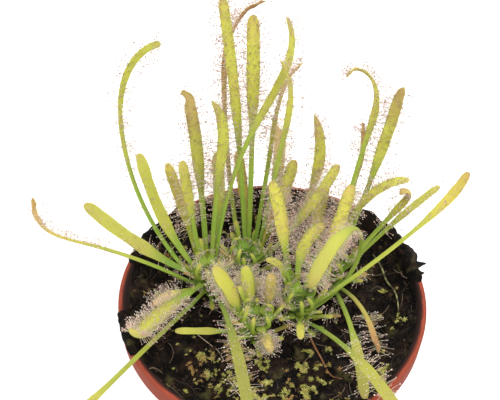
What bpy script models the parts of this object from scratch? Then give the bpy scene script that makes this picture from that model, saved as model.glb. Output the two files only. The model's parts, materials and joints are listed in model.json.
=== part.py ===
"""Potted sundew: a strap-leaved sundew with five crowns, in a round plastic pot filled with peat.

Metres, +Z up. The origin is the middle of the pot's flat base, where it stands.
"""
import math

import bmesh
import bpy
from mathutils import Vector, noise

MM = 0.001
GAP = 0.3 * MM

# Pot
POT_RIM_RADIUS = 45.0 * MM
POT_HEIGHT = 68.0 * MM
POT_FOOT_RADIUS = 29.0 * MM
POT_WALL = 1.2 * MM
LIP_HEIGHT = 7.0 * MM
LIP_OVERHANG = 0.9 * MM
FLOOR = 2.0 * MM
HUB_RADIUS = 12.0 * MM
RECESS_OUTER = 24.5 * MM
RECESS_DEPTH = 0.8 * MM
DRAIN_COUNT = 6
DRAIN_RADIUS = 3.2 * MM
DRAIN_CIRCLE = 18.5 * MM
POT_STEPS = 40

# Peat
PEAT_LEVEL = 58.5 * MM
PEAT_MOUND = 3.0 * MM
PEAT_LUMP = 1.6 * MM
MOUND_SPREAD = 11.0 * MM
LUMP_SPREAD = 7.0 * MM
PEAT_CLEAR = 0.4 * MM
PEAT_RINGS = 9
PEAT_SPOKES = 36

# Crowns, the short stems that the leaves grow from
CROWN_RADIUS = 3.3 * MM
CROWN_FOOT = 44.0 * MM
CROWN_TOP = 73.0 * MM
CROWN_SHOULDER = 2.2 * MM
CROWN_POINT = 4.0 * MM
CROWN_STEPS = 16
CROWNS = {
    "left": (-19.0 * MM, 7.0 * MM),
    "right": (8.0 * MM, -4.0 * MM),
    "middle": (-7.5 * MM, 13.0 * MM),
    "back": (18.0 * MM, 9.0 * MM),
    "front": (-4.5 * MM, -10.5 * MM),
}

# Leaves
ROOT_WIDTH = 1.2 * MM
PETIOLE_WIDTH = 1.4 * MM
PETIOLE_SHARE = 0.80
PETIOLE_RAMP = 10.0 * MM
PETIOLE_THICK = 1.0 * MM
BLADE_THICK = 0.7 * MM
TIP_WIDTH = 1.5 * MM
CHANNEL = 0.13
PETIOLE_SPAN = 7.5 * MM
BLADE_SPAN = 5.2 * MM
BASE_BEND = 5.0 * MM
MIDRIB_STEP = 0.25 * MM

# Glandular hairs, each a thin stalk with a drop on its tip
HAIR_LENGTH = 2.6 * MM
HAIR_SHORTEST = 1.1 * MM
CURL_CLEAR = 0.5
HAIR_ROOT = 0.26 * MM
HAIR_NECK = 0.12 * MM
DROP_RADIUS = 0.34 * MM

# Each leaf: crown, root height above the peat, heading (0 is +X, 90 is +Y), sway along the leaf,
# hook near the tip (both sideways), rise at the root, arch along the leaf, curl near the tip
# (all three up or down), length, blade width in mm, share of the length that is blade, tone.
# Angles are in degrees.
LEAVES = {
    "left_hook": ("left", 4.5, 168, -108, -104, 54, -2, -30, 84, 2.0, 0.55, "green"),
    "left_fan": ("left", 9.5, 160, -48, 0, 55, 8, -20, 40, 4.0, 0.75, "green"),
    "left_wide": ("left", 8, 182, -34, 0, 37, -8, 0, 40, 4.4, 0.75, "green"),
    "left_reach": ("left", 4.5, 189, -18, -96, 44, -52, 104, 60, 2.4, 0.50, "yellow"),
    "left_low": ("left", 4.5, 249, -22, -10, 25, -42, 0, 62, 2.4, 0.30, "yellow"),
    "left_cup": ("left", 7.5, 240, 2, 0, 28, -22, 110, 38, 4.6, 0.70, "green"),
    "left_small": ("left", 4.5, 215, 10, 0, 30, -30, 0, 17, 3.2, 0.60, "orange"),
    "left_front": ("left", 6, 286, -6, 0, 40, -86, 0, 62, 3.0, 0.60, "green"),
    "left_sweep": ("left", 7, 68, -66, 128, 73, -27, 0, 81, 2.2, 0.50, "green"),
    "left_tall": ("left", 7, 97, 6, 20, 72, -12, -20, 56, 3.6, 0.58, "green"),
    "left_inner": ("left", 10.5, 78, -20, 130, 74, -14, 0, 51, 3.2, 0.55, "green"),
    "left_yellow": ("left", 4.5, 122, 0, 0, 66, -14, 0, 37, 3.2, 0.60, "yellow"),
    "left_bud": ("left", 10.5, 124, -18, 0, 78, -14, 0, 34, 3.0, 0.58, "green"),
    "left_olive": ("left", 4.5, 72, 28, 0, 59, -2, 0, 38, 3.6, 0.55, "green"),
    "right_curve": ("right", 11, 98, -78, 0, 74, -55, 0, 22, 4.0, 0.66, "green"),
    "right_slope": ("right", 8, 45, 20, 0, 60, -12, 0, 36, 3.8, 0.60, "green"),
    "right_claw": ("right", 4.5, 14, 60, -30, 33, 217, 0, 65, 3.8, 0.42, "green"),
    "right_long": ("right", 7.5, 6, 27, 12, 43, -12, 25, 59, 3.4, 0.40, "yellow"),
    "right_stand": ("right", 5, 112, -6, 30, 66, -10, 0, 38, 4.0, 0.60, "green"),
    "right_petiole": ("right", 11, 122, 46, 0, 74, -84, 0, 13, 2.6, 0.50, "green"),
    "right_stub": ("right", 6, 160, 0, 0, 46, -20, 0, 13, 3.4, 0.70, "green"),
    "right_front": ("right", 4.5, 296, 0, 0, 40, -50, 0, 52, 3.2, 0.55, "green"),
    "right_tip": ("right", 6, 268, 0, 0, 50, -60, 0, 12, 2.4, 0.60, "green"),
    "middle_arch": ("middle", 5, 21, 68, 84, 36, 38, 0, 53, 3.4, 0.52, "green"),
    "middle_orange": ("middle", 5, 90, 18, 0, 65, -12, 0, 34, 3.2, 0.55, "orange"),
    "middle_fuzzy": ("middle", 8, 34, 26, 0, 66, -14, 0, 33, 4.0, 0.60, "green"),
    "middle_red": ("middle", 11, 10, 10, 0, 84, -24, 0, 19, 2.4, 0.40, "brown"),
    "middle_wide": ("middle", 8, 83, 8, 0, 72, -24, 0, 72, 3.8, 0.50, "green"),
    "middle_tallest": ("middle", 11, 97, 10, 0, 75, -16, 0, 75, 3.0, 0.60, "green"),
    "middle_thin": ("middle", 5, 114, -36, -110, 67, -6, -40, 84, 2.6, 0.45, "brown"),
    "middle_lean": ("middle", 8, 61, 10, -80, 72, -4, -25, 63, 1.8, 0.55, "green"),
    "middle_curl": ("middle", 11, 34, 4, 150, 79, -2, -20, 64, 1.8, 0.45, "green"),
    "middle_short": ("middle", 5, 50, 44, 0, 58, -12, 0, 44, 3.4, 0.55, "green"),
    "middle_cross": ("middle", 8, 351, 58, 0, 58, -14, 0, 41, 3.4, 0.60, "green"),
    "back_drop": ("back", 4.5, 279, -6, 0, 30, -50, 0, 45, 2.8, 0.50, "green"),
    "back_brown": ("back", 4.5, 300, -26, 0, 30, -48, 0, 31, 1.8, 0.40, "brown"),
    "back_hook": ("back", 7, 22, -2, 0, 52, -4, 212, 37, 2.6, 0.50, "green"),
    "back_reach": ("back", 4.5, 28, 4, 0, 39, -22, 0, 41, 2.4, 0.55, "green"),
    "back_tall": ("back", 8, 51, 12, 0, 58, -6, 40, 57, 3.4, 0.55, "green"),
    "back_crook": ("back", 9.5, 70, -14, 200, 57, -6, -80, 66, 2.8, 0.50, "green"),
    "back_pink": ("back", 5, 72, -14, 60, 54, -6, 0, 46, 2.0, 0.50, "orange"),
    "back_side": ("back", 11, 56, -54, 0, 79, -78, 0, 35, 3.2, 0.60, "green"),
    "back_inner": ("back", 7, 128, -80, 0, 70, -24, 0, 26, 3.6, 0.60, "green"),
    "front_near": ("front", 6, 146, 12, 0, 74, -28, 0, 21, 5.4, 0.78, "green"),
    "front_nearer": ("front", 8, 106, 2, 0, 62, -14, 0, 14, 4.2, 0.80, "green"),
    "front_flat": ("front", 4.5, 188, -10, 0, 8, -10, 0, 20, 2.4, 0.70, "green"),
    "front_pink": ("front", 9, 290, 0, 0, 20, -60, 0, 8, 3.6, 0.75, "orange"),
    "front_fuzz": ("front", 10, 50, 40, 0, 72, -10, 0, 12, 3.2, 0.80, "orange"),
}
TONES = {
    "green": (0.42, 0.50, 0.07),
    "yellow": (0.62, 0.58, 0.08),
    "orange": (0.66, 0.34, 0.07),
    "brown": (0.36, 0.13, 0.04),
}


def clear_scene():
    for old in list(bpy.data.objects):
        bpy.data.objects.remove(old, do_unlink=True)


def collection(name):
    new = bpy.data.collections.new(name)
    bpy.context.scene.collection.children.link(new)
    return new


def material(name, colour, roughness, metallic=0.0):
    new = bpy.data.materials.new(name)
    new.use_nodes = True
    shader = new.node_tree.nodes["Principled BSDF"]
    shader.inputs["Base Color"].default_value = (*colour, 1.0)
    shader.inputs["Roughness"].default_value = roughness
    shader.inputs["Metallic"].default_value = metallic
    return new


def add_object(name, mesh, group, finish):
    mesh.materials.append(finish)
    obj = bpy.data.objects.new(name, mesh)
    group.objects.link(obj)
    return obj


def profile_object(name, points, group, finish, steps):
    """A turned piece: a profile of (radius, height) with a Screw modifier."""
    mesh = bpy.data.meshes.new(name)
    edges = [(i, i + 1) for i in range(len(points) - 1)]
    mesh.from_pydata([(radius, 0.0, height) for radius, height in points], edges, [])
    obj = add_object(name, mesh, group, finish)
    screw = obj.modifiers.new("turn", "SCREW")
    screw.steps = steps
    screw.render_steps = steps
    screw.use_merge_vertices = True
    screw.merge_threshold = 0.00001
    screw.use_smooth_shade = True
    return obj


def cutter(name, radius, low, high, place, group, sides):
    """An upright cylinder that a Boolean takes away."""
    bpy.ops.mesh.primitive_cylinder_add(
        vertices=sides, radius=radius, depth=high - low, location=(*place, (low + high) / 2))
    obj = bpy.context.object
    obj.name = name
    for old in list(obj.users_collection):
        old.objects.unlink(obj)
    group.objects.link(obj)
    obj.hide_render = True
    obj.display_type = "WIRE"
    return obj


def cut(obj, tool):
    boolean = obj.modifiers.new(tool.name, "BOOLEAN")
    boolean.operation = "DIFFERENCE"
    boolean.object = tool


def wall_radius(height):
    """Outer radius of the pot's tapered wall at a height."""
    top = POT_RIM_RADIUS - LIP_OVERHANG
    return POT_FOOT_RADIUS + (top - POT_FOOT_RADIUS) * height / POT_HEIGHT


def make_pot(group, tools):
    lip_base = POT_HEIGHT - LIP_HEIGHT
    edge = 0.4 * MM
    points = [
        (0.0, FLOOR),
        (wall_radius(FLOOR) - POT_WALL, FLOOR),
        (wall_radius(POT_HEIGHT) - POT_WALL, POT_HEIGHT - edge),
        (wall_radius(POT_HEIGHT) - POT_WALL + edge, POT_HEIGHT),
        (POT_RIM_RADIUS - edge, POT_HEIGHT),
        (POT_RIM_RADIUS, POT_HEIGHT - edge),
        (POT_RIM_RADIUS, lip_base),
        (wall_radius(lip_base), lip_base),
        (POT_FOOT_RADIUS, 0.0),
        (RECESS_OUTER, 0.0),
        (RECESS_OUTER - RECESS_DEPTH, RECESS_DEPTH),
        (HUB_RADIUS + RECESS_DEPTH, RECESS_DEPTH),
        (HUB_RADIUS, 0.0),
        (0.0, 0.0),
    ]
    finish = material("terracotta_plastic", (0.46, 0.10, 0.045), 0.45)
    pot = profile_object("pot", points, group, finish, POT_STEPS)
    for i in range(DRAIN_COUNT):
        angle = math.tau * i / DRAIN_COUNT
        place = (DRAIN_CIRCLE * math.cos(angle), DRAIN_CIRCLE * math.sin(angle))
        cut(pot, cutter(f"drain_{i + 1}", DRAIN_RADIUS, -FLOOR, 2 * FLOOR, place, tools, 10))


def peat_height(x, y):
    """Height of the peat's top: a low mound round the crowns, with lumps."""
    mound = 0.0
    for cx, cy in CROWNS.values():
        away = math.hypot(x - cx, y - cy) / MOUND_SPREAD
        mound = max(mound, math.exp(-away * away))
    lump = noise.noise(Vector((x, y, 0.0)) / LUMP_SPREAD)
    return PEAT_LEVEL + PEAT_MOUND * mound + PEAT_LUMP * lump


def make_peat(group, tools):
    """A plug of peat that fills the pot, with a lumpy top and plain holes for the crowns."""
    low = FLOOR + GAP
    inset = POT_WALL + PEAT_CLEAR
    bm = bmesh.new()
    rings = []
    top_radius = wall_radius(PEAT_LEVEL - PEAT_LUMP) - inset
    for k in range(1, PEAT_RINGS + 1):
        radius = top_radius * k / PEAT_RINGS
        ring = []
        for i in range(PEAT_SPOKES):
            angle = math.tau * (i + 0.5 * (k % 2)) / PEAT_SPOKES
            x = radius * math.cos(angle)
            y = radius * math.sin(angle)
            ring.append(bm.verts.new((x, y, peat_height(x, y))))
        rings.append(ring)
    bottom = []
    for i in range(PEAT_SPOKES):
        angle = math.tau * (i + 0.5 * (PEAT_RINGS % 2)) / PEAT_SPOKES
        radius = wall_radius(low) - inset
        bottom.append(bm.verts.new((radius * math.cos(angle), radius * math.sin(angle), low)))
    middle = bm.verts.new((0.0, 0.0, peat_height(0.0, 0.0)))
    for i in range(PEAT_SPOKES):
        after = (i + 1) % PEAT_SPOKES
        bm.faces.new((middle, rings[0][i], rings[0][after]))
        bm.faces.new((rings[-1][i], bottom[i], bottom[after], rings[-1][after]))
        for inner, outer in zip(rings, rings[1:]):
            bm.faces.new((inner[i], outer[i], outer[after], inner[after]))
    bm.faces.new(list(reversed(bottom)))
    bmesh.ops.triangulate(bm, faces=bm.faces)  # flat faces, which the holes cut cleanly
    bmesh.ops.recalc_face_normals(bm, faces=bm.faces)
    mesh = bpy.data.meshes.new("peat")
    bm.to_mesh(mesh)
    bm.free()
    peat = add_object("peat", mesh, group, material("dark_peat", (0.035, 0.022, 0.016), 0.95))
    hole = CROWN_RADIUS + GAP
    for name, place in CROWNS.items():
        tool = cutter(f"{name}_hole", hole, CROWN_FOOT - GAP, POT_HEIGHT, place, tools, CROWN_STEPS)
        cut(peat, tool)


def make_crowns(group):
    finish = material("crown_stem", (0.22, 0.20, 0.05), 0.7)
    for name, place in CROWNS.items():
        points = [
            (0.0, CROWN_TOP),
            (CROWN_RADIUS * 0.62, CROWN_TOP - CROWN_SHOULDER * 0.3),
            (CROWN_RADIUS, CROWN_TOP - CROWN_SHOULDER),
            (CROWN_RADIUS, CROWN_FOOT + CROWN_POINT),
            (CROWN_RADIUS * 0.6, CROWN_FOOT),
            (0.0, CROWN_FOOT),
        ]
        crown = profile_object(f"{name}_crown", points, group, finish, CROWN_STEPS)
        crown.location = (*place, 0.0)


def leaf_stations(length, blade_share):
    """Distances along the leaf, closer together on the blade than on the petiole."""
    petiole = length * (1 - blade_share)
    blade = length - petiole
    petiole_spans = max(3, round(petiole / PETIOLE_SPAN))
    blade_spans = max(4, round(blade / BLADE_SPAN))
    first = [petiole * i / petiole_spans for i in range(petiole_spans)]
    second = [petiole + blade * i / blade_spans for i in range(blade_spans + 1)]
    return first + second, petiole_spans


def leaf_angles(row, distance):
    """Heading and pitch of a leaf's midrib at a distance from its root, in radians."""
    heading, sway, hook, rise, arch, curl, length = row
    t = distance / length
    near_tip = max(0.0, (t - 0.6) / 0.4) ** 2
    last = max(0.0, (t - 0.75) / 0.25) ** 2
    near_root = max(0.0, 1 - distance / BASE_BEND) ** 2
    bend = arch * t ** 1.5
    turn = heading + sway * t + hook * near_tip
    pitch = (rise + bend + curl * last) * (1 - 0.45 * near_root)
    return math.radians(turn), math.radians(pitch)


def direction(turn, pitch):
    level = math.cos(pitch)
    return Vector((math.cos(turn) * level, math.sin(turn) * level, math.sin(pitch)))


def midrib(row, start, distances):
    """Points of the midrib with their forward, left and up directions."""
    place = Vector(start)
    walked = 0.0
    frames = []
    for distance in distances:
        while walked < distance - 1e-9:
            step = min(MIDRIB_STEP, distance - walked)
            turn, pitch = leaf_angles(row, walked + step / 2)
            place = place + direction(turn, pitch) * step
            walked += step
        turn, pitch = leaf_angles(row, distance)
        forward = direction(turn, pitch)
        left = Vector((-math.sin(turn), math.cos(turn), 0.0))
        frames.append((place.copy(), forward, left, forward.cross(left)))
    return frames


def petiole_width(blade_width, blade_share):
    """A wide, long blade has a wide petiole."""
    return max(PETIOLE_WIDTH, PETIOLE_SHARE * blade_share * blade_width)


def leaf_width(distance, length, blade_share, blade_width):
    petiole = length * (1 - blade_share)
    swell = min(1.0, max(0.0, (distance - petiole) / (length * 0.22)))
    swell = swell * swell * (3 - 2 * swell)
    plain = petiole_width(blade_width, blade_share)
    stalk = ROOT_WIDTH + (plain - ROOT_WIDTH) * min(1.0, distance / PETIOLE_RAMP)
    width = stalk + (blade_width - plain) * swell
    to_tip = (length - distance) / (1.6 * blade_width)
    if to_tip < 1.0:
        width = TIP_WIDTH + (width - TIP_WIDTH) * math.sqrt(max(0.0, 1 - (1 - to_tip) ** 2))
    return width


def leaf_section(frame, width, swell, level_root):
    """Six points across the leaf: three on its upper face, three on its lower face."""
    place, forward, left, up = frame
    if level_root:
        up = Vector((0.0, 0.0, 1.0 / max(0.5, up.z)))
    thick = PETIOLE_THICK + (BLADE_THICK - PETIOLE_THICK) * swell
    trough = CHANNEL * width
    half = width / 2
    edge = thick * 0.45
    return [
        place + left * half + up * (trough * 0.6 + edge),
        place + up * (thick / 2 - trough * 0.4),
        place - left * half + up * (trough * 0.6 + edge),
        place - left * half + up * (trough * 0.6 - edge),
        place - up * (thick / 2 + trough * 0.4),
        place + left * half + up * (trough * 0.6 - edge),
    ]


def add_hair(bm, quad, across, along, lean, length):
    """Raise one glandular hair from a four-sided patch of the leaf's upper face."""
    a, b, c, d = [v.co for v in quad]
    spot = (a * (1 - across) + b * across) * (1 - along) + (d * (1 - across) + c * across) * along
    normal = (d - b).cross(c - a).normalized()
    side = (b - a).normalized()
    forward = side.cross(normal)
    axis = (normal + side * lean).normalized()

    def triangle(radius, lift):
        around = []
        for i in range(3):
            angle = math.tau * (i / 3 + 0.125)
            offset = side * math.cos(angle) + forward * math.sin(angle)
            around.append(bm.verts.new(spot + offset * radius + axis * lift))
        return around

    root = triangle(HAIR_ROOT, 0.0)
    neck = triangle(HAIR_NECK, length - 1.5 * DROP_RADIUS)
    drop = triangle(DROP_RADIUS, length)
    tip = bm.verts.new(spot + axis * (length + 1.2 * DROP_RADIUS))
    stitch_patch(bm, quad, root, spot)
    for low, high in ((root, neck), (neck, drop)):
        for i in range(3):
            after = (i + 1) % 3
            bm.faces.new((low[i], low[after], high[after]))
            bm.faces.new((low[i], high[after], high[i]))
    for i in range(3):
        bm.faces.new((drop[i], drop[(i + 1) % 3], tip))


def hair_room(here, there):
    """Longest hair that fits on the upper face between two places, less where the leaf curls up."""
    bend = here[1].angle(there[1])
    if there[1].dot(here[3]) <= 0 or bend < 0.01:
        return HAIR_LENGTH
    radius = (there[0] - here[0]).length / bend
    return min(HAIR_LENGTH, radius * CURL_CLEAR)


def stitch_patch(bm, quad, root, spot):
    """Fill between a four-sided patch and the hair's root triangle with seven triangles."""
    nearest = []
    for i in range(4):
        middle = (quad[i].co + quad[(i + 1) % 4].co) / 2
        nearest.append(min(range(3), key=lambda k: (root[k].co - middle).length))
    for i in range(4):
        bm.faces.new((quad[i], quad[(i + 1) % 4], root[nearest[i]]))
    for i in range(4):
        corner = quad[i]
        now = nearest[i - 1]
        while now != nearest[i]:
            after = (now + 1) % 3
            bm.faces.new((corner, root[after], root[now]))
            now = after


def make_leaf(name, row, group, finishes):
    crown, lift, heading, sway, hook, rise, arch, curl, length, width, share, tone = row
    length = length * MM
    width = width * MM
    shape = (heading, sway, hook, rise, arch, curl, length)
    cx, cy = CROWNS[crown]
    turn = math.radians(heading)
    reach = CROWN_RADIUS + GAP
    start = (cx + reach * math.cos(turn), cy + reach * math.sin(turn), PEAT_LEVEL + lift * MM)
    distances, petiole_spans = leaf_stations(length, share)
    frames = midrib(shape, start, distances)
    bm = bmesh.new()
    sections = []
    for i, (distance, frame) in enumerate(zip(distances, frames)):
        across = leaf_width(distance, length, share, width)
        plain = petiole_width(width, share)
        swell = min(1.0, max(0.0, (across - plain) / (width - plain + 1e-9)))
        corners = leaf_section(frame, across, swell, i == 0)
        sections.append([bm.verts.new(corner) for corner in corners])
    for i in range(len(sections) - 1):
        here = sections[i]
        there = sections[i + 1]
        on_blade = i >= petiole_spans
        room = hair_room(frames[i], frames[i + 1])
        for j in range(6):
            k = (j + 1) % 6
            patch = (here[k], here[j], there[j], there[k])
            if on_blade and j < 2 and room > HAIR_SHORTEST:
                outward = -1 if j == 1 else 1
                across = 0.62 if j == 0 else 0.38
                add_hair(bm, patch, across, 0.5, 1.1 * outward, room)
            elif j in (0, 5, 3):
                bm.faces.new((patch[0], patch[1], patch[2]))
                bm.faces.new((patch[0], patch[2], patch[3]))
            else:
                bm.faces.new((patch[0], patch[1], patch[3]))
                bm.faces.new((patch[1], patch[2], patch[3]))
    for section in (sections[0], sections[-1]):
        left_top, top, right_top, right_low, low, left_low = section
        bm.faces.new((left_top, top, low, left_low))
        bm.faces.new((top, right_top, right_low, low))
    bmesh.ops.recalc_face_normals(bm, faces=bm.faces)
    if bm.calc_volume(signed=True) < 0:
        bmesh.ops.reverse_faces(bm, faces=bm.faces)
    mesh = bpy.data.meshes.new(name)
    bm.to_mesh(mesh)
    bm.free()
    add_object(name, mesh, group, finishes[tone])


def main():
    clear_scene()
    group = collection("potted_sundew")
    tools = collection("cutters")
    make_pot(group, tools)
    make_peat(group, tools)
    make_crowns(group)
    finishes = {tone: material(f"leaf_{tone}", colour, 0.4) for tone, colour in TONES.items()}
    for name, row in LEAVES.items():
        make_leaf(f"{name}_leaf", row, group, finishes)


main()
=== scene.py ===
# %% [markdown]
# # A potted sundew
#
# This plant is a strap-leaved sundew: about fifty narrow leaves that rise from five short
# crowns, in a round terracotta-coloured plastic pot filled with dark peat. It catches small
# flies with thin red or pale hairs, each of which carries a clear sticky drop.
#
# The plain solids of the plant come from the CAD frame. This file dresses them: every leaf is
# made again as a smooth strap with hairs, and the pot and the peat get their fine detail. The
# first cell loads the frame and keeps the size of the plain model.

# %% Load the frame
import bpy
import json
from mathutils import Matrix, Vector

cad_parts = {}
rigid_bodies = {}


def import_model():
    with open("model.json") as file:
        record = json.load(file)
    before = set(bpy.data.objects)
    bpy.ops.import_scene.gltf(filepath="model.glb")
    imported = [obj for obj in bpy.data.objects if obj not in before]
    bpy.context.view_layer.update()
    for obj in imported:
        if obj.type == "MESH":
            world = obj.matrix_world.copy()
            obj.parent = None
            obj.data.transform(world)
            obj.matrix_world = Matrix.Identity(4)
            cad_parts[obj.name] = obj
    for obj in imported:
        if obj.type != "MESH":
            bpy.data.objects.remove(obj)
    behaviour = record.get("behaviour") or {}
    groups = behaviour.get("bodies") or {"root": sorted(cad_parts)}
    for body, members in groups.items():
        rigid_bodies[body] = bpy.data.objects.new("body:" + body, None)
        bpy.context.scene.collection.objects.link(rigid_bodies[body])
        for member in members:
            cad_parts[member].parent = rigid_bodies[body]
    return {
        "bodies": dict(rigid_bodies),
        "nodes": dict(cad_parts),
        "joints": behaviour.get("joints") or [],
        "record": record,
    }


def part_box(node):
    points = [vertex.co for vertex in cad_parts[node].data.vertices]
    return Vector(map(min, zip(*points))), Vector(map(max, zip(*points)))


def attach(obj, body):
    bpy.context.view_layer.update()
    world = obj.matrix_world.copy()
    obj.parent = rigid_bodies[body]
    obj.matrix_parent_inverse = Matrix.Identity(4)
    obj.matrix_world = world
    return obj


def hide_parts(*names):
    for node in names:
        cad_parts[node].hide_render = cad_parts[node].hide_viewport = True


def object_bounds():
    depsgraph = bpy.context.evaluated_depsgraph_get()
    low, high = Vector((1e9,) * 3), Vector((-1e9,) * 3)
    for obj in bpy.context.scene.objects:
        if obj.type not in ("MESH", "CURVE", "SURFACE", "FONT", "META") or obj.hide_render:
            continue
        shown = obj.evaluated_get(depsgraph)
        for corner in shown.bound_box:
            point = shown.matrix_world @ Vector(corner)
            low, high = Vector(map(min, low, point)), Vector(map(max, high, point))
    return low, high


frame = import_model()
cad_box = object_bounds()
print("solids in the frame:", len(frame["nodes"]))

# %% Libraries and the unit
import json
import math
import random

import bmesh
import bpy
from mathutils import Matrix, Vector, noise

MM = 0.001
scene = bpy.context.scene
size = (cad_box[1] - cad_box[0]) / MM
print(f"plain model: {size.x:.1f} x {size.y:.1f} x {size.z:.1f} mm")

# %% [markdown]
# ## The camera
#
# The photograph looks down on the plant, from 10 cm above its tallest leaves. The rim of the
# pot is a circle of known size, so the shape of its ellipse gives the tilt of the camera, and
# its width gives the distance. A lens is easiest to think of as an angle: a 36 mm wide sensor
# behind a 53 mm lens sees what the photograph shows, with no shift.

# %% Camera
LOOK_DOWN = 44.5  # degrees below level
EYE = (-6.45 * MM, -137.2 * MM, 239.9 * MM)
camera = bpy.data.objects.new("camera", bpy.data.cameras.new("camera"))
camera.data.sensor_width = 36.0
camera.data.lens = 53.4
camera.data.clip_start = 10.0 * MM
camera.location = EYE
camera.rotation_euler = (math.radians(90.0 - LOOK_DOWN), 0.0, 0.0)
scene.collection.objects.link(camera)
scene.camera = camera
print("camera looks down by", LOOK_DOWN, "degrees")

# %% [markdown]
# ## Nodes in short
#
# A Blender material is a small network of nodes. Setting one up takes three steps for every
# node: make it, set its values, and link its inputs. The helper `add` does all three in one
# line, so that the recipes below stay readable. The others wrap the nodes that are used most:
# sums, a mix of two colours, a soft threshold, a noise and a number that the mesh carries.

# %% Add a node
def add(tree, kind, inputs=None, **settings):
    """A new node. An input is a value, or the output socket of another node."""
    made = tree.nodes.new(kind)
    for name, value in settings.items():
        setattr(made, name, value)
    for key, value in (inputs or {}).items():
        if isinstance(value, bpy.types.NodeSocket):
            tree.links.new(value, made.inputs[key])
        else:
            made.inputs[key].default_value = value
    return made


print("one helper adds every node")

# %% Helpers for numbers
def maths(tree, operation, a, b=0.0):
    return add(tree, "ShaderNodeMath", {0: a, 1: b}, operation=operation).outputs[0]


def times(tree, a, b):
    return maths(tree, "MULTIPLY", a, b)


def plus(tree, a, b):
    return maths(tree, "ADD", a, b)


def raised(tree, pattern, amount, start=0.5):
    """A start value that a pattern from 0 to 1 raises by up to an amount."""
    inputs = {0: pattern, 1: amount, 2: start}
    return add(tree, "ShaderNodeMath", inputs, operation="MULTIPLY_ADD").outputs[0]


def threshold(tree, value, low, high):
    """0 below low, 1 above high, with a soft step between."""
    inputs = {"Value": value, "From Min": low, "From Max": high}
    return add(tree, "ShaderNodeMapRange", inputs, interpolation_type="SMOOTHSTEP").outputs[0]


def height_of(tree, place):
    return add(tree, "ShaderNodeSeparateXYZ", {0: place}).outputs[2]


def stored(tree, name):
    """The number that the mesh carries under a name."""
    return add(tree, "ShaderNodeAttribute", attribute_name=name).outputs["Fac"]


print("helpers for numbers ready")

# %% Helpers for colours and noise
def colour(value):
    """A plain colour gets its fourth number, and a socket stays as it is."""
    return (*value, 1.0) if isinstance(value, tuple) else value


def mix(tree, factor, a, b, blend="MIX"):
    inputs = {0: factor, 6: colour(a), 7: colour(b)}
    return add(tree, "ShaderNodeMix", inputs, data_type="RGBA", blend_type=blend).outputs[2]


def grain(tree, place, per_metre, detail=3.0):
    """A noise from 0 to 1. Per metre is how many of its spots fit in a metre."""
    inputs = {"Vector": place, "Scale": per_metre, "Detail": detail}
    return add(tree, "ShaderNodeTexNoise", inputs).outputs[0]


print("helpers for colours ready")

# %% Start and end of a finish
def new_finish(name, **fixed):
    """A material, its node tree, its shader and the place of a point on the object."""
    made = bpy.data.materials.new(name)
    made.use_nodes = True
    tree = made.node_tree
    shader = tree.nodes["Principled BSDF"]
    for socket, value in fixed.items():
        shader.inputs[socket.replace("_", " ")].default_value = value
    place = add(tree, "ShaderNodeTexCoord").outputs["Object"]
    return made, tree, shader, place


def connect(tree, shader, base, roughness, height, depth, strength=0.6):
    """Colour, roughness and bump go to the shader. Depth is how high the bump is, in metres."""
    tree.links.new(base, shader.inputs["Base Color"])
    tree.links.new(roughness, shader.inputs["Roughness"])
    bump = add(tree, "ShaderNodeBump", {"Height": height, "Distance": depth, "Strength": strength})
    tree.links.new(bump.outputs[0], shader.inputs["Normal"])


print("node helpers ready")

# %% [markdown]
# ## Light and floor
#
# The photograph is a cut-out on white, lit from all round by soft light. A large panel above
# and in front gives the gloss on the drops, one from the left and one from behind lift the
# shadows, and a white world fills in the rest. The floor is plain and pale and isn't part of
# the object.

# %% Light
def panel(name, place, target, width, watts):
    light = bpy.data.lights.new(name, "AREA")
    light.shape = "SQUARE"
    light.size = width
    light.energy = watts
    lamp = bpy.data.objects.new(name, light)
    lamp.location = place
    lamp.rotation_euler = (Vector(target) - Vector(place)).to_track_quat("-Z", "Y").to_euler()
    scene.collection.objects.link(lamp)


MIDDLE = (0.0, 0.0, 0.08)
PANEL_WIDTH = 0.45
panel("key_panel", (0.15, -0.25, 0.62), MIDDLE, PANEL_WIDTH, 4.2)
panel("left_panel", (-0.55, 0.05, 0.40), MIDDLE, PANEL_WIDTH, 2.0)
panel("back_panel", (0.20, 0.55, 0.45), MIDDLE, PANEL_WIDTH, 2.2)
world = bpy.data.worlds.new("soft_white")
world.use_nodes = True
world.node_tree.nodes["Background"].inputs["Color"].default_value = (1.0, 0.99, 0.98, 1.0)
world.node_tree.nodes["Background"].inputs["Strength"].default_value = 0.75
scene.world = world
scene.view_settings.view_transform = "Standard"

# %% Floor
bpy.ops.mesh.primitive_plane_add(size=6.0)
floor = bpy.context.object
floor.name = "floor"
pale, tree, shader, place = new_finish("pale_floor")
cloud = grain(tree, place, 3.0)
base = mix(tree, cloud, (0.90, 0.90, 0.895), (0.93, 0.93, 0.925))
connect(tree, shader, base, raised(tree, cloud, 0.1), cloud, 0.2 * MM, 0.1)
floor.data.materials.append(pale)
print("floor laid")

# %% [markdown]
# ## The pot
#
# The pot is an ordinary round 9 cm pot of moulded plastic, 68 mm high. Its wall is thin and
# leans outwards, and a 7 mm band round the top makes the lip stiff. It is turned, as on a
# lathe: a Screw modifier spins one profile round the axis. What makes it look moulded and not
# drawn is that no corner is sharp, so each corner of the profile is first rounded by an arc.
# The radius of the rim and the height are measured on the plain solid, and so are the places of
# the crowns further down. The thinner details are sizes of their own.

# %% Sizes of the pot
def tenth(metres):
    """A size measured on a solid, to the nearest tenth of a millimetre."""
    return round(metres / MM, 1) * MM


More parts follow.
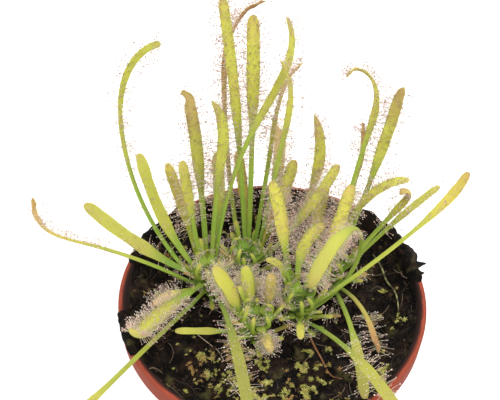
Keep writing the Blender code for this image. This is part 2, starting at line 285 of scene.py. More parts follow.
low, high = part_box("pot")
RIM_RADIUS = tenth((high[0] - low[0]) / 2)
POT_HEIGHT = tenth(high[2] - low[2])
FOOT_RADIUS = 29.0 * MM
WALL = 1.2 * MM
LIP_HEIGHT = 7.0 * MM
LIP_OVERHANG = 0.9 * MM
FLOOR_THICK = 2.0 * MM
HUB_RADIUS = 12.0 * MM
RECESS_OUTER = 24.5 * MM
RECESS_DEPTH = 0.8 * MM
DRAINS = 6
DRAIN_RADIUS = 3.2 * MM
DRAIN_CIRCLE = 18.5 * MM


def wall_radius(height):
    """Outer radius of the wall at a height."""
    top = RIM_RADIUS - LIP_OVERHANG
    return FOOT_RADIUS + (top - FOOT_RADIUS) * height / POT_HEIGHT


def rounded(corners, steps=4):
    """A profile with an arc at each corner. A corner is (radius, height, rounding)."""
    points = [corners[0][:2]]
    for before, here, after in zip(corners, corners[1:], corners[2:]):
        spot = Vector(here[:2])
        into = (Vector(before[:2]) - spot).normalized() * here[2]
        out = (Vector(after[:2]) - spot).normalized() * here[2]
        for i in range(steps + 1):
            t = i / steps
            points.append(tuple(spot + into * (1 - t) ** 2 + out * t ** 2))
    return points + [corners[-1][:2]]


def profile_of_pot():
    """Inner floor, inner wall, lip, outer wall and foot, from the axis round to the axis."""
    lip_base = POT_HEIGHT - LIP_HEIGHT
    inner = wall_radius(POT_HEIGHT) - WALL
    return rounded([
        (0.0, FLOOR_THICK, 0.0),
        (wall_radius(FLOOR_THICK) - WALL, FLOOR_THICK, 1.0 * MM),
        (inner, POT_HEIGHT, 0.5 * MM),
        (RIM_RADIUS, POT_HEIGHT, 0.6 * MM),
        (RIM_RADIUS - 0.15 * MM, lip_base, 0.3 * MM),
        (wall_radius(lip_base), lip_base, 0.25 * MM),
        (wall_radius(3.0 * MM), 3.0 * MM, 0.5 * MM),
        (FOOT_RADIUS, 0.0, 0.6 * MM),
        (RECESS_OUTER, 0.0, 0.3 * MM),
        (RECESS_OUTER - RECESS_DEPTH, RECESS_DEPTH, 0.3 * MM),
        (HUB_RADIUS + RECESS_DEPTH, RECESS_DEPTH, 0.3 * MM),
        (HUB_RADIUS, 0.0, 0.3 * MM),
        (0.0, 0.0, 0.0),
    ])


print(f"pot: {2 * RIM_RADIUS / MM:.0f} mm across and {POT_HEIGHT / MM:.0f} mm high")
print("points in its profile:", len(profile_of_pot()))

# %% [markdown]
# ## From modifiers to a plain piece
#
# Modifiers and Geometry Nodes are recipes that Blender works out when it draws. A finished
# piece here is a plain mesh instead, so `settle` asks for the worked-out result and keeps that.
# `hand_over` then shades it smooth, hangs it on the frame's body and hides the plain solids it stands for.

# %% Helpers for pieces
def new_object(name, mesh, *finishes):
    for one in finishes:
        mesh.materials.append(one)
    made = bpy.data.objects.new(name, mesh)
    scene.collection.objects.link(made)
    return made


def settle(obj):
    """Replace an object's recipe by the mesh that comes out of it."""
    graph = bpy.context.evaluated_depsgraph_get()
    mesh = bpy.data.meshes.new_from_object(
        obj.evaluated_get(graph), preserve_all_data_layers=True, depsgraph=graph)
    obj.modifiers.clear()
    obj.data = mesh
    mesh.name = obj.name
    return len(mesh.polygons)


def hand_over(obj, slot, *nodes):
    obj.data.shade_smooth()
    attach(obj, "root")
    if nodes:
        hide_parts(*nodes)


def tidy_faces(mesh):
    """Merge doubles and turn every face outwards."""
    bm = bmesh.new()
    bm.from_mesh(mesh)
    bmesh.ops.remove_doubles(bm, verts=bm.verts, dist=0.002 * MM)
    bmesh.ops.recalc_face_normals(bm, faces=bm.faces)
    bm.to_mesh(mesh)
    bm.free()


print("piece helpers ready")

# %% [markdown]
# ## Terracotta-coloured plastic
#
# The plastic is a flat orange-red with a faint cloudiness from the moulding, fine scratches
# along the wall and a satin gloss. Peat and algae have stained it brown inside, and faintly on
# the lip. So the mesh carries a number called `inside`, 1 on the inner wall, and the material
# puts its stain, a noise, only there and near the lip. On the inner wall the dark covers nearly
# all of it, and there it is also painted shade, the shade that falls in the pot's hollow.

# %% Finish of the pot
pot_finish, tree, shader, place = new_finish("terracotta_plastic", Specular_IOR_Level=0.25)
cloud = grain(tree, place, 60.0)
smear = grain(tree, place, 210.0, 6.0)
stretched = add(tree, "ShaderNodeMapping", {"Vector": place, "Scale": (1.0, 1.0, 0.12)}).outputs[0]
scratch = grain(tree, stretched, 2600.0, 5.0)
inside = stored(tree, "inside")
near_lip = threshold(tree, height_of(tree, place), POT_HEIGHT - 6.0 * MM, POT_HEIGHT + 8.0 * MM)
# Stain and painted shade: patches of peat stain, and on the inner wall a near-black that covers nearly all
# of it as painted shade.
stain_and_shade = threshold(tree, plus(tree, smear, times(tree, inside, 0.55)), 0.62, 0.76)
stain_and_shade = times(tree, stain_and_shade, maths(tree, "MAXIMUM", inside, near_lip))
base = mix(tree, cloud, (0.20, 0.034, 0.017), (0.26, 0.050, 0.025))
scuffed = times(tree, threshold(tree, scratch, 0.58, 0.75), 0.35)
base = mix(tree, scuffed, base, (0.34, 0.11, 0.062))
# Near-black: peat stain, and painted shade on the inner wall.
base = mix(tree, times(tree, stain_and_shade, 0.96), base, (0.008, 0.005, 0.004))
rough = plus(tree, raised(tree, stain_and_shade, 0.4, 0.72), times(tree, cloud, 0.25))
height = plus(tree, times(tree, scratch, 0.4), times(tree, stain_and_shade, 1.6))
connect(tree, shader, base, rough, height, 0.08 * MM, 0.5)
print("finish:", pot_finish.name)

# %% Turn the pot
TURN_STEPS = 144
profile = profile_of_pot()
edges = [(i, i + 1) for i in range(len(profile) - 1)]
mesh = bpy.data.meshes.new("pot_shell")
mesh.from_pydata([(r, 0.0, z) for r, z in profile], edges, [])
pot = new_object("pot_shell", mesh, pot_finish)
turn = pot.modifiers.new("turn", "SCREW")
turn.steps = TURN_STEPS
turn.render_steps = TURN_STEPS
turn.use_merge_vertices = True
turn.merge_threshold = 0.01 * MM
settle(pot)
tidy_faces(pot.data)
print("faces of the turned pot:", len(pot.data.polygons))

# %% Drill its drain holes
drills = bmesh.new()
for i in range(DRAINS):
    angle = math.tau * i / DRAINS
    spot = (DRAIN_CIRCLE * math.cos(angle), DRAIN_CIRCLE * math.sin(angle), FLOOR_THICK / 2)
    bmesh.ops.create_cone(
        drills, cap_ends=True, segments=32, radius1=DRAIN_RADIUS, radius2=DRAIN_RADIUS,
        depth=3 * FLOOR_THICK, matrix=Matrix.Translation(spot))
mesh = bpy.data.meshes.new("drills")
drills.to_mesh(mesh)
drills.free()
drill = new_object("drills", mesh, pot_finish)
bore = pot.modifiers.new("bore", "BOOLEAN")
bore.object = drill
faces = settle(pot)
bpy.data.objects.remove(drill)
print("faces of the pot:", faces)

# %% Mark the inside of the pot
marks = pot.data.attributes.new("inside", "FLOAT", "POINT")
for vertex, mark in zip(pot.data.vertices, marks.data):
    radius = math.hypot(vertex.co.x, vertex.co.y)
    within = wall_radius(vertex.co.z) - 0.5 * WALL - radius
    mark.value = 1.0 if within > 0 and vertex.co.z > FLOOR_THICK / 2 else 0.0
hand_over(pot, "terracotta_plastic", "pot")
print("pot done")

# %% [markdown]
# ## Peat
#
# The pot is full of dark, wet peat with a lumpy top that rises a little round the crowns and
# clings to the wall. The big form repeats the rule of the plain solid, a mound round each crown
# plus a broad noise. Finer lumps are added by a fractal noise, which is a sum of the same noise
# at smaller and smaller sizes. That is how soil is really built: clods of clods of crumbs.

# %% Shape of the peat's top
PEAT_LEVEL = 58.5 * MM
PEAT_MOUND = 3.0 * MM
PEAT_LUMP = 1.6 * MM
MOUND_SPREAD = 11.0 * MM
LUMP_SPREAD = 7.0 * MM
PEAT_RADIUS = wall_radius(60.0 * MM) - WALL - 0.05 * MM
CROWNS = {}
for name in ("left", "right", "middle", "back", "front"):
    low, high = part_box(f"{name}_crown")
    CROWNS[name] = (tenth((low[0] + high[0]) / 2), tenth((low[1] + high[1]) / 2))
CROWN_RADIUS = tenth((high[0] - low[0]) / 2)


def peat_height(x, y):
    """The top of the plain solid."""
    mound = 0.0
    for cx, cy in CROWNS.values():
        away = math.hypot(x - cx, y - cy) / MOUND_SPREAD
        mound = max(mound, math.exp(-away * away))
    lump = noise.noise(Vector((x, y, 0.0)) / LUMP_SPREAD)
    return PEAT_LEVEL + PEAT_MOUND * mound + PEAT_LUMP * lump


def edge_share(x, y):
    """0 over most of the peat, rising to 1 at the wall."""
    return max(0.0, math.hypot(x, y) / PEAT_RADIUS - 0.80) / 0.20


print("crowns:", {name: (round(x / MM, 1), round(y / MM, 1)) for name, (x, y) in CROWNS.items()})
print(f"plain top in the middle: {peat_height(0, 0) / MM:.1f} mm")

# %% Clods on the peat's top
CLOD_SPREAD = 4.2 * MM
CLOD_RISE = 1.35 * MM
CRACK_SPREAD = 2.3 * MM
CRACK_DEPTH = 1.5 * MM
BANK_SPREAD = 8.0 * MM
BANK_RISE = 7.4 * MM
BANK_WAVE = 1.9 * MM
BELOW_LIP = 0.2 * MM


def soil_top(x, y):
    """The plain top with clods and cracks, and a bank where the peat clings to the wall."""
    spot = Vector((x, y, 0.0))
    edge = edge_share(x, y)
    clods = noise.fractal(spot / CLOD_SPREAD, 0.8, 2.1, 5)
    cracks = abs(noise.noise(spot / CRACK_SPREAD + Vector((7, 3, 5))))
    wave = noise.noise(spot / BANK_SPREAD + Vector((2, 8, 4)))
    bank = edge ** 2.2 * (BANK_RISE + BANK_WAVE * wave)
    rough = (CLOD_RISE * clods - CRACK_DEPTH * cracks) * (1 - 0.6 * edge)
    return min(peat_height(x, y) + rough + bank, POT_HEIGHT - BELOW_LIP)


print(f"top of the peat in the middle: {soil_top(0, 0) / MM:.1f} mm")

# %% Finish of the peat
def peat_finish(name, dark, brown, speck, algae):
    made, tree, shader, place = new_finish(name, Specular_IOR_Level=0.12)
    clod = grain(tree, place, 260.0, 6.0)
    fine = grain(tree, place, 1900.0, 5.0)
    film = grain(tree, place, 150.0, 5.0)
    base = mix(tree, threshold(tree, clod, 0.40, 0.70), dark, brown)
    green = times(tree, threshold(tree, film, 0.55, 0.68), threshold(tree, clod, 0.42, 0.60))
    base = mix(tree, times(tree, green, 0.75), base, algae)
    base = mix(tree, threshold(tree, fine, 0.62, 0.76), base, speck)
    pale_crumb = times(tree, maths(tree, "POWER", stored(tree, "tint"), 3.0), 0.8)
    base = mix(tree, pale_crumb, base, speck)
    wet = threshold(tree, grain(tree, place, 140.0), 0.50, 0.62)
    rough = raised(tree, wet, -0.35, 0.97)
    height = plus(tree, clod, times(tree, fine, 0.6))
    connect(tree, shader, base, rough, height, 0.6 * MM, 0.9)
    return made


soil = peat_finish("dark_peat", dark=(0.0022, 0.0018, 0.0016), brown=(0.019, 0.011, 0.0070),
                   speck=(0.058, 0.034, 0.019), algae=(0.070, 0.062, 0.022))
print("finish:", soil.name)

# %% Build the peat
RINGS = 84
SPOKES = 260
FLOOR_GAP = 0.3 * MM
WALL_GAP = 0.4 * MM


def disc_faces(rings, spokes):
    """Faces of a disc: a fan round the point in the middle, then rings of squares."""
    faces = [(0, 1 + i, 1 + (i + 1) % spokes) for i in range(spokes)]
    for k in range(rings - 1):
        for i in range(spokes):
            here = 1 + k * spokes
            after = (i + 1) % spokes
            faces.append((here + i, here + spokes + i, here + spokes + after, here + after))
    return faces


def peat_points():
    """The middle, the rings of the top and last the ring of the underside."""
    points = [(0.0, 0.0, soil_top(0.0, 0.0))]
    spokes = [math.tau * i / SPOKES for i in range(SPOKES)]
    for k in range(1, RINGS + 1):
        for angle in spokes:
            x = PEAT_RADIUS * k / RINGS * math.cos(angle)
            y = PEAT_RADIUS * k / RINGS * math.sin(angle)
            z = soil_top(x, y)
            widen = 1 + edge_share(x, y) * ((wall_radius(z) - WALL) / PEAT_RADIUS - 1)
            points.append((x * widen, y * widen, z))
    height = FLOOR_THICK + FLOOR_GAP
    radius = wall_radius(height) - WALL - WALL_GAP
    return points + [(radius * math.cos(a), radius * math.sin(a), height) for a in spokes]


cells = disc_faces(RINGS, SPOKES)
rim = 1 + (RINGS - 1) * SPOKES
foot = rim + SPOKES
for i in range(SPOKES):
    after = (i + 1) % SPOKES
    cells.append((rim + i, foot + i, foot + after, rim + after))
cells.append(tuple(reversed(range(foot, foot + SPOKES))))
mesh = bpy.data.meshes.new("peat_body")
mesh.from_pydata(peat_points(), [], cells)
peat = new_object("peat_body", mesh, soil)
tidy_faces(peat.data)
print("faces of the peat:", len(peat.data.polygons))

# %% [markdown]
# ## Scattering with Geometry Nodes
#
# Crumbs, fibres and moss all lie on the peat in their hundreds. Geometry Nodes does this well:
# one node spreads points over a surface, the next puts a small shape on each point, turned and
# sized by chance. The chance is seeded, so the same scene comes out each time. One function
# builds the tree for any small shape, and each use of it sets the named inputs its own way. The
# tree ends by making real mesh out of the copies and giving them a material.

# %% Start, end and run a tree
def start_tree(name, **sizes):
    """A Geometry Nodes tree with named number inputs. Returns the tree and its input node."""
    tree = bpy.data.node_groups.new(name, "GeometryNodeTree")
    tree.interface.new_socket("Geometry", in_out="INPUT", socket_type="NodeSocketGeometry")
    for key, value in sizes.items():
        kind = "NodeSocketInt" if isinstance(value, int) else "NodeSocketFloat"
        socket = tree.interface.new_socket(key.replace("_", " "), in_out="INPUT", socket_type=kind)
        socket.default_value = value
    tree.interface.new_socket("Geometry", in_out="OUTPUT", socket_type="NodeSocketGeometry")
    return tree, tree.nodes.new("NodeGroupInput")


def made_real(tree, copies, finish):
    """The copies as one mesh with a material."""
    real = add(tree, "GeometryNodeRealizeInstances", {0: copies}).outputs[0]
    return add(tree, "GeometryNodeSetMaterial", {"Geometry": real, "Material": finish}).outputs[0]


def run_tree(obj, tree, values):
    """Put a tree on an object, set the inputs that values name, and keep the mesh it makes."""
    recipe = obj.modifiers.new(tree.name, "NODES")
    recipe.node_group = tree
    for socket in tree.interface.items_tree:
        key = socket.name.replace(" ", "_")
        if socket.in_out == "INPUT" and key in values:
            recipe[socket.identifier] = values[key]
    return settle(obj)


print("trees can be started and run")

# %% Chance, attributes and vectors in a tree
def chance(tree, low, high, seed):
    """A random number for each point, or three of them when low is a triple."""
    if isinstance(low, tuple):
        inputs = {0: low, 1: high, 8: seed}
        return add(tree, "FunctionNodeRandomValue", inputs, data_type="FLOAT_VECTOR").outputs[0]
    inputs = {2: low, 3: high, 8: seed}
    return add(tree, "FunctionNodeRandomValue", inputs, data_type="FLOAT").outputs[1]


def attribute(tree, name, kind="FLOAT"):
    return add(tree, "GeometryNodeInputNamedAttribute", {"Name": name}, data_type=kind).outputs[0]


def keep(tree, geometry, name, value, domain="INSTANCE"):
    """Store a number under a name, for the material to read."""
    inputs = {"Geometry": geometry, "Name": name, "Value": value}
    made = add(tree, "GeometryNodeStoreNamedAttribute", inputs, data_type="FLOAT", domain=domain)
    return made.outputs[0]


def vector(tree, operation, a, b=(0.0, 0.0, 0.0)):
    """Vector maths. The second value is a vector, or a number for SCALE."""
    key = "Scale" if operation == "SCALE" else 1
    return add(tree, "ShaderNodeVectorMath", {0: a, key: b}, operation=operation).outputs[0]


print("helpers for trees ready")

# %% Places, turns and copies in a tree
def spread(tree, given, factor):
    """Points over a surface, close together where the attribute `factor` is high."""
    return add(tree, "GeometryNodeDistributePointsOnFaces", {
        "Mesh": given.outputs[0], "Distance Min": given.outputs["Spacing"],
        "Density Max": given.outputs["Density"], "Density Factor": attribute(tree, factor),
        "Seed": given.outputs["Seed"]}, distribute_method="POISSON")


def moved(tree, points, offset):
    return add(tree, "GeometryNodeSetPosition", {"Geometry": points, "Offset": offset}).outputs[0]


def turned_to(tree, direction, turn=(0.0, 0.0, 0.0), share=1.0):
    """A rotation that brings the upright axis of a shape round to a direction."""
    inputs = {"Rotation": turn, "Factor": share, "Vector": direction}
    return add(tree, "FunctionNodeAlignRotationToVector", inputs, axis="Z").outputs[0]


def copies_on(tree, points, shape, turn, scale=(1.0, 1.0, 1.0)):
    inputs = {"Points": points, "Instance": shape, "Rotation": turn, "Scale": scale}
    return add(tree, "GeometryNodeInstanceOnPoints", inputs).outputs[0]


print("helpers for copies ready")

# %% A tree that scatters one shape
def scatter_tree(name, shape, finish, factor, upright=0.0):
    """Scatter a shape over a surface. Upright is how far it turns to stand on the surface."""
    tree, given = start_tree(name, Spacing=0.5 * MM, Density=1e6, Smallest=0.5 * MM,
                             Largest=1.0 * MM, Sink=0.0, Seed=1)
    places = spread(tree, given, factor)
    normal = places.outputs["Normal"]
    sunk = vector(tree, "SCALE", normal, times(tree, given.outputs["Sink"], -1.0))
    points = moved(tree, places.outputs[0], sunk)
    if upright:
        turn = chance(tree, (-0.25, -0.25, 0.0), (0.25, 0.25, math.tau), 3)
        turn = turned_to(tree, normal, turn, upright)
        smallest, largest = (0.8, 0.8, 0.7), (1.2, 1.2, 1.1)
    else:
        turn = chance(tree, (0.0, 0.0, 0.0), (math.tau, math.tau, math.tau), 3)
        smallest, largest = (0.6, 0.6, 0.5), (1.2, 1.2, 1.1)
    mostly_small = maths(tree, "POWER", maths(tree, "ABSOLUTE", chance(tree, -1.0, 1.0, 5)), 2.5)
    extra = maths(tree, "SUBTRACT", given.outputs["Largest"], given.outputs["Smallest"])
    length = plus(tree, given.outputs["Smallest"], times(tree, mostly_small, extra))
    scale = vector(tree, "SCALE", chance(tree, smallest, largest, 7), length)
    copies = copies_on(tree, points, shape(tree), turn, scale)
    tinted = keep(tree, copies, "tint", chance(tree, 0.0, 1.0, 9))
    add(tree, "NodeGroupOutput", {0: made_real(tree, tinted, finish)})
    return tree


def scatter(name, tree, surface, **values):
    """A new piece: the tree's shapes, scattered over a copy of a surface."""
    made = new_object(name, surface.data.copy())
    faces = run_tree(made, tree, values)
    print(f"{name}: {faces} faces")
    return made


print("scatter tree ready")

# %% [markdown]
# ## Where moss grows
#
# Moss takes hold in patches, in the light at the front and round the edge, and leaves bare wet
# peat between. Each patch is a circle on the peat, softened by noise. The share of moss and of
# loose crumbs at each point is stored on the peat's mesh, and the scatter trees read it.

# %% Shares of moss and crumbs over the peat
PATCHES = [  # x, y, radius in mm and strength
    (-20.0, -19.0, 6.0, 0.8), (-14.0, -25.0, 5.0, 0.8), (-9.0, -19.0, 6.0, 1.0), (-4.0, -22.0, 5.0, 0.9),
    (9.0, -24.0, 6.0, 1.0), (4.0, -31.0, 6.0, 1.0), (-6.0, -33.0, 6.0, 0.9), (15.0, -32.0, 5.0, 0.7),
    (13.0, -17.0, 4.0, 0.7), (30.0, -22.0, 3.0, 0.7), (27.0, -27.0, 4.0, 0.5), (31.0, -3.0, 3.0, 0.4),
    (36.0, 7.0, 3.0, 0.5), (37.0, -6.0, 2.5, 0.4), (-36.0, 4.0, 3.0, 0.6), (-31.0, -3.0, 4.0, 0.4),
    (-30.0, 20.0, 5.0, 0.5), (0.0, 33.0, 7.0, 0.6), (22.0, 30.0, 6.0, 0.5), (-20.0, 28.0, 6.0, 0.5),
]
STRAY_MOSS = 0.02
MOSS_GAP_SPREAD = 2.4 * MM
CRUMB_SPREAD = 6.0 * MM
TOP_FROM = PEAT_LEVEL - 4.0 * MM


def moss_share(x, y):
    """How thickly moss grows at a place, from 0 to 1."""
    share = STRAY_MOSS
    for px, py, radius, strength in PATCHES:
        away = math.hypot(x / MM - px, y / MM - py) / radius
        share = max(share, strength * math.exp(-away ** 4))
    cover = noise.noise(Vector((x, y, 0.0)) / MOSS_GAP_SPREAD + Vector((11, 5, 2)))
    between_gaps = min(1.0, max(0.0, 5.0 * (cover - 0.12 + 0.15 * share)))
    return min(1.0, 1.3 * share) * between_gaps


def crumb_share(spot):
    return 0.35 + 0.65 * abs(noise.noise(spot / CRUMB_SPREAD))


moss_marks = peat.data.attributes.new("moss", "FLOAT", "POINT")
crumb_marks = peat.data.attributes.new("crumbs", "FLOAT", "POINT")
for vertex, moss_mark, crumb_mark in zip(peat.data.vertices, moss_marks.data, crumb_marks.data):
    on_top = vertex.co.z > TOP_FROM
    moss_mark.value = moss_share(vertex.co.x, vertex.co.y) if on_top else 0.0
    crumb_mark.value = crumb_share(vertex.co) if on_top else 0.0
print("share of moss at the front:", round(moss_share(5 * MM, -24 * MM), 2))

# %% Crumbs of peat
def crumb(tree):
    return add(tree, "GeometryNodeMeshIcoSphere", {"Radius": 0.5, "Subdivisions": 1}).outputs[0]


crumb_tree = scatter_tree("crumbs", crumb, soil, "crumbs")
crumbs = scatter("peat_crumbs", crumb_tree, peat, Spacing=0.5 * MM, Density=1.1e6,
                 Smallest=0.45 * MM, Largest=2.2 * MM, Sink=0.05 * MM, Seed=3)
hand_over(crumbs, "dark_peat")

# %% [markdown]
# ## Moss
#
# Seen from above, each moss plant is a tiny star of pointed leaves, one or two millimetres
# across: a flat ring of them, and a few upright ones in the middle. A cone with three sides is
# enough for a leaf of that size. The whole star is built inside the tree, from two rings of cones.

# %% Finish of the moss
moss_finish, tree, shader, place = new_finish("moss", Subsurface_Weight=0.2, Subsurface_Scale=0.4 * MM)
patchy = grain(tree, place, 120.0)
fine = grain(tree, place, 2500.0)
base = mix(tree, stored(tree, "tint"), (0.46, 0.46, 0.060), (0.84, 0.76, 0.24))
base = mix(tree, threshold(tree, patchy, 0.48, 0.64), base, (0.55, 0.30, 0.10))
base = mix(tree, threshold(tree, stored(tree, "tip"), 0.0, 0.5), (0.16, 0.145, 0.030), base)
base = mix(tree, times(tree, fine, 0.35), base, (0.05, 0.05, 0.01))
connect(tree, shader, base, raised(tree, fine, 0.4), fine, 0.1 * MM)
print("finish:", moss_finish.name)

# %% Stars of moss
def position(tree):
    return add(tree, "GeometryNodeInputPosition").outputs[0]


def joined(tree, parts):
    """The parts in one geometry, in their order, although the socket takes its last link first."""
    made = add(tree, "GeometryNodeJoinGeometry")
    for part in reversed(parts):
        tree.links.new(part, made.inputs[0])
    return made.outputs[0]


def star(tree):
    """A low ring of pointed leaves and a steep one, 1.4 units across."""
    rings = []
    for count, reach, tilt, length in ((6, 0.12, 1.15, 0.62), (4, 0.06, 0.45, 0.60)):
        ring = add(tree, "GeometryNodeMeshCircle", {"Vertices": count, "Radius": reach}).outputs[0]
        leaf = add(tree, "GeometryNodeMeshCone", {
            "Vertices": 3, "Radius Top": 0.0, "Radius Bottom": 0.15, "Depth": length}).outputs[0]
        to_tip = maths(tree, "DIVIDE", height_of(tree, position(tree)), length)
        leaf = keep(tree, leaf, "tip", to_tip, "POINT")
        outwards = vector(tree, "SCALE", position(tree), math.tan(tilt) / reach)
        aim = vector(tree, "ADD", outwards, (0.0, 0.0, 1.0))
        rings.append(copies_on(tree, ring, leaf, turned_to(tree, aim)))
    return add(tree, "GeometryNodeRealizeInstances", {0: joined(tree, rings)}).outputs[0]


moss_tree = scatter_tree("moss", star, moss_finish, "moss", upright=0.8)
moss = scatter("moss_stars", moss_tree, peat, Spacing=0.42 * MM, Density=6.0e6,
               Smallest=0.75 * MM, Largest=1.5 * MM, Sink=0.0, Seed=5)
hand_over(moss, "dark_peat")

# %% [markdown]
# ## Fibres
#
# Peat is half-rotted moss and roots, so fine brown fibres stick out of it everywhere. Each is
# an arc with a thin three-sided section. An arc is a curve, and Curve to Mesh gives it a body.

# %% Fibres in the peat
fibre_finish, tree, shader, place = new_finish("fibre")
fine = grain(tree, place, 1500.0)
mostly_dark = maths(tree, "POWER", stored(tree, "tint"), 3.0)
base = mix(tree, mostly_dark, (0.030, 0.016, 0.010), (0.34, 0.24, 0.15))
base = mix(tree, times(tree, fine, 0.4), base, (0.02, 0.012, 0.008))
connect(tree, shader, base, raised(tree, fine, 0.5), fine, 0.1 * MM)


def fibre(tree):
    arc = add(tree, "GeometryNodeCurveQuadraticBezier", {
        "Resolution": 6, "Start": (-1.6, 0.0, -0.3), "Middle": (0.2, 0.9, 0.9), "End": (1.7, -0.2, -0.2)})
    section = add(tree, "GeometryNodeCurvePrimitiveCircle", {"Resolution": 3, "Radius": 0.045})
    body = add(tree, "GeometryNodeCurveToMesh", {
        "Curve": arc.outputs[0], "Profile Curve": section.outputs[0], "Fill Caps": True})
    return body.outputs[0]


fibre_tree = scatter_tree("fibres", fibre, fibre_finish, "crumbs", upright=0.7)
fibres = scatter("peat_fibres", fibre_tree, peat, Spacing=1.2 * MM, Density=2.2e5,
                 Smallest=0.7 * MM, Largest=2.4 * MM, Sink=-0.1 * MM, Seed=8)
hand_over(fibres, "dark_peat")
hand_over(peat, "dark_peat", "peat")

# %% [markdown]
# ## Crust on the rim
#
# On both sides and at the back left, wet peat and old leaf have dried onto the rim itself, and
# on the right a few flakes stick out past it. Each crust is a lumpy ribbon that follows the rim:
# a closed section of ten points is set down in small steps and moved about by noise. Rings of
# points joined by squares make a tube, and the leaves and crowns are made so further down.

# %% Faces of a tube
def tube_faces(rings, around):
    """Squares from each ring of points to the next, and a cap at each end."""
    faces = []
    for i in range(rings - 1):
        for j in range(around):
            here = i * around
            after = (j + 1) % around
            faces.append((here + j, here + after, here + around + after, here + around + j))
    faces.append(tuple(reversed(range(around))))
    faces.append(tuple(range((rings - 1) * around, rings * around)))
    return faces


print("faces of a tube of 3 rings of 10:", len(tube_faces(3, 10)))

# %% Crusts
CRUST_STEP = 0.7  # degrees
CRUST_LUMP = 2.2  # size of its lumps, in mm, and how far they move its edge and its top
CRUST_SWELL = 0.35
CRUST_RISE = 0.55
EDGE_FROM = 43.0  # radius in mm where the outer edge begins, which carries the flakes
EDGE_WIDTH = 2.3
END_RADIUS = 42.0  # radius and height in mm that the two ends of a ribbon shrink to
END_HEIGHT = 66.0
SECTION = [  # radius and height of the ribbon's section, from inside to outside and back, in mm
    (40.6, 62.0), (41.8, 65.6), (42.9, 67.9), (43.9, 68.7), (44.8, 68.6),
    (45.3, 68.1), (45.2, 67.6), (44.4, 67.4), (43.2, 66.8), (41.6, 63.0)]
RIGHT_FLAKES = [  # where a flake is and how wide, in degrees, and how far it sticks out, in mm
    (12.3, 1.5, 3.0), (8.0, 0.8, 1.2), (1.2, 1.1, 2.0), (18.0, 7.0, 1.9), (31.0, 8.0, 1.6),
    (44.0, 6.0, 1.2)]


def crust(name, first, last, flakes):
    """A ribbon of dried peat on the rim between two angles, in degrees."""
    points = []
    steps = int((last - first) / CRUST_STEP)
    for s in range(steps + 1):
        degrees = first + (last - first) * s / steps
        angle = math.radians(degrees)
        ends = min(1.0, 6.0 * min(s, steps - s) / steps)
        reach = sum(out * max(0.0, 1 - abs(degrees - at) / wide) for at, wide, out in flakes)
        for radius, height in SECTION:
            spot = Vector((radius * math.cos(angle), radius * math.sin(angle), height * 0.7))
            rough = noise.fractal(spot / CRUST_LUMP, 0.9, 2.0, 3)
            outer = max(0.0, (radius - EDGE_FROM) / EDGE_WIDTH) ** 2
            radius = END_RADIUS + (radius - END_RADIUS + (CRUST_SWELL * rough + reach) * outer) * ends
            height = END_HEIGHT + (height - END_HEIGHT + CRUST_RISE * rough) * ends
            points.append(Vector((radius * math.cos(angle), radius * math.sin(angle), height)) * MM)
    mesh = bpy.data.meshes.new(name)
    mesh.from_pydata(points, [], tube_faces(steps + 1, len(SECTION)))
    made = new_object(name, mesh, soil)
    tidy_faces(mesh)
    hand_over(made, "dark_peat")


crust("crust_right", -4.0, 58.0, RIGHT_FLAKES)
crust("crust_left", 186.0, 215.0, [])
crust("crust_back", 122.0, 173.0, [(150.0, 9.0, 0.5)])
print("crusts on the rim: 3")

# %% [markdown]
# ## Litter on the peat
#
# A dead leaf stalk runs from the right crown to the front, a withered blade lies along the right
# wall, and pale root threads lie here and there. Each is a round tube along a few points that
# lie on the peat. A NURBS curve with a bevel makes such a tube: it passes smoothly near its
# points, and it turns into a mesh before it is handed over.

# %% Finishes of the litter
def dry_finish(name, per_metre, dark, pale, rough, sharp=False):
    """A dry brown with streaks of a paler one, which are crisp when sharp."""
    made, tree, shader, place = new_finish(name)
    fine = grain(tree, place, per_metre, 4.0)
    share = threshold(tree, fine, 0.40, 0.60) if sharp else fine
    connect(tree, shader, mix(tree, share, dark, pale), raised(tree, fine, rough), fine, 0.1 * MM)
    return made


stalk_litter = dry_finish("dead_stalk", 700.0, (0.10, 0.035, 0.015), (0.36, 0.17, 0.06), 0.5)
blade_litter = dry_finish("dead_blade", 420.0, (0.045, 0.040, 0.012), (0.26, 0.25, 0.10), 0.4, True)
root_litter = dry_finish("pale_root", 900.0, (0.26, 0.18, 0.10), (0.66, 0.56, 0.40), 0.5)
print("finishes of the litter: 3")

# %% Litter
def strand(name, finish, radius, spots):
    """A tapered tube through points (x, y, height above the peat), in mm."""
    line = bpy.data.curves.new(name, "CURVE")
    line.dimensions = "3D"
    line.bevel_depth = radius
    line.bevel_resolution = 2
    line.resolution_u = 6
    line.use_fill_caps = True
    line.materials.append(finish)
    spline = line.splines.new("NURBS")
    spline.points.add(len(spots) - 1)
    for i, (point, (x, y, lift)) in enumerate(zip(spline.points, spots)):
        point.co = (x * MM, y * MM, soil_top(x * MM, y * MM) + lift * MM, 1.0)
        point.radius = 1.0 - 0.6 * i / len(spots)
    spline.use_endpoint_u = True
    spline.order_u = 3
    drawn = bpy.data.objects.new(name, line)
    scene.collection.objects.link(drawn)
    graph = bpy.context.evaluated_depsgraph_get()
    mesh = bpy.data.meshes.new_from_object(drawn.evaluated_get(graph))
    bpy.data.objects.remove(drawn)
    made = new_object(name, mesh)
    tidy_faces(mesh)
    hand_over(made, "dark_peat")


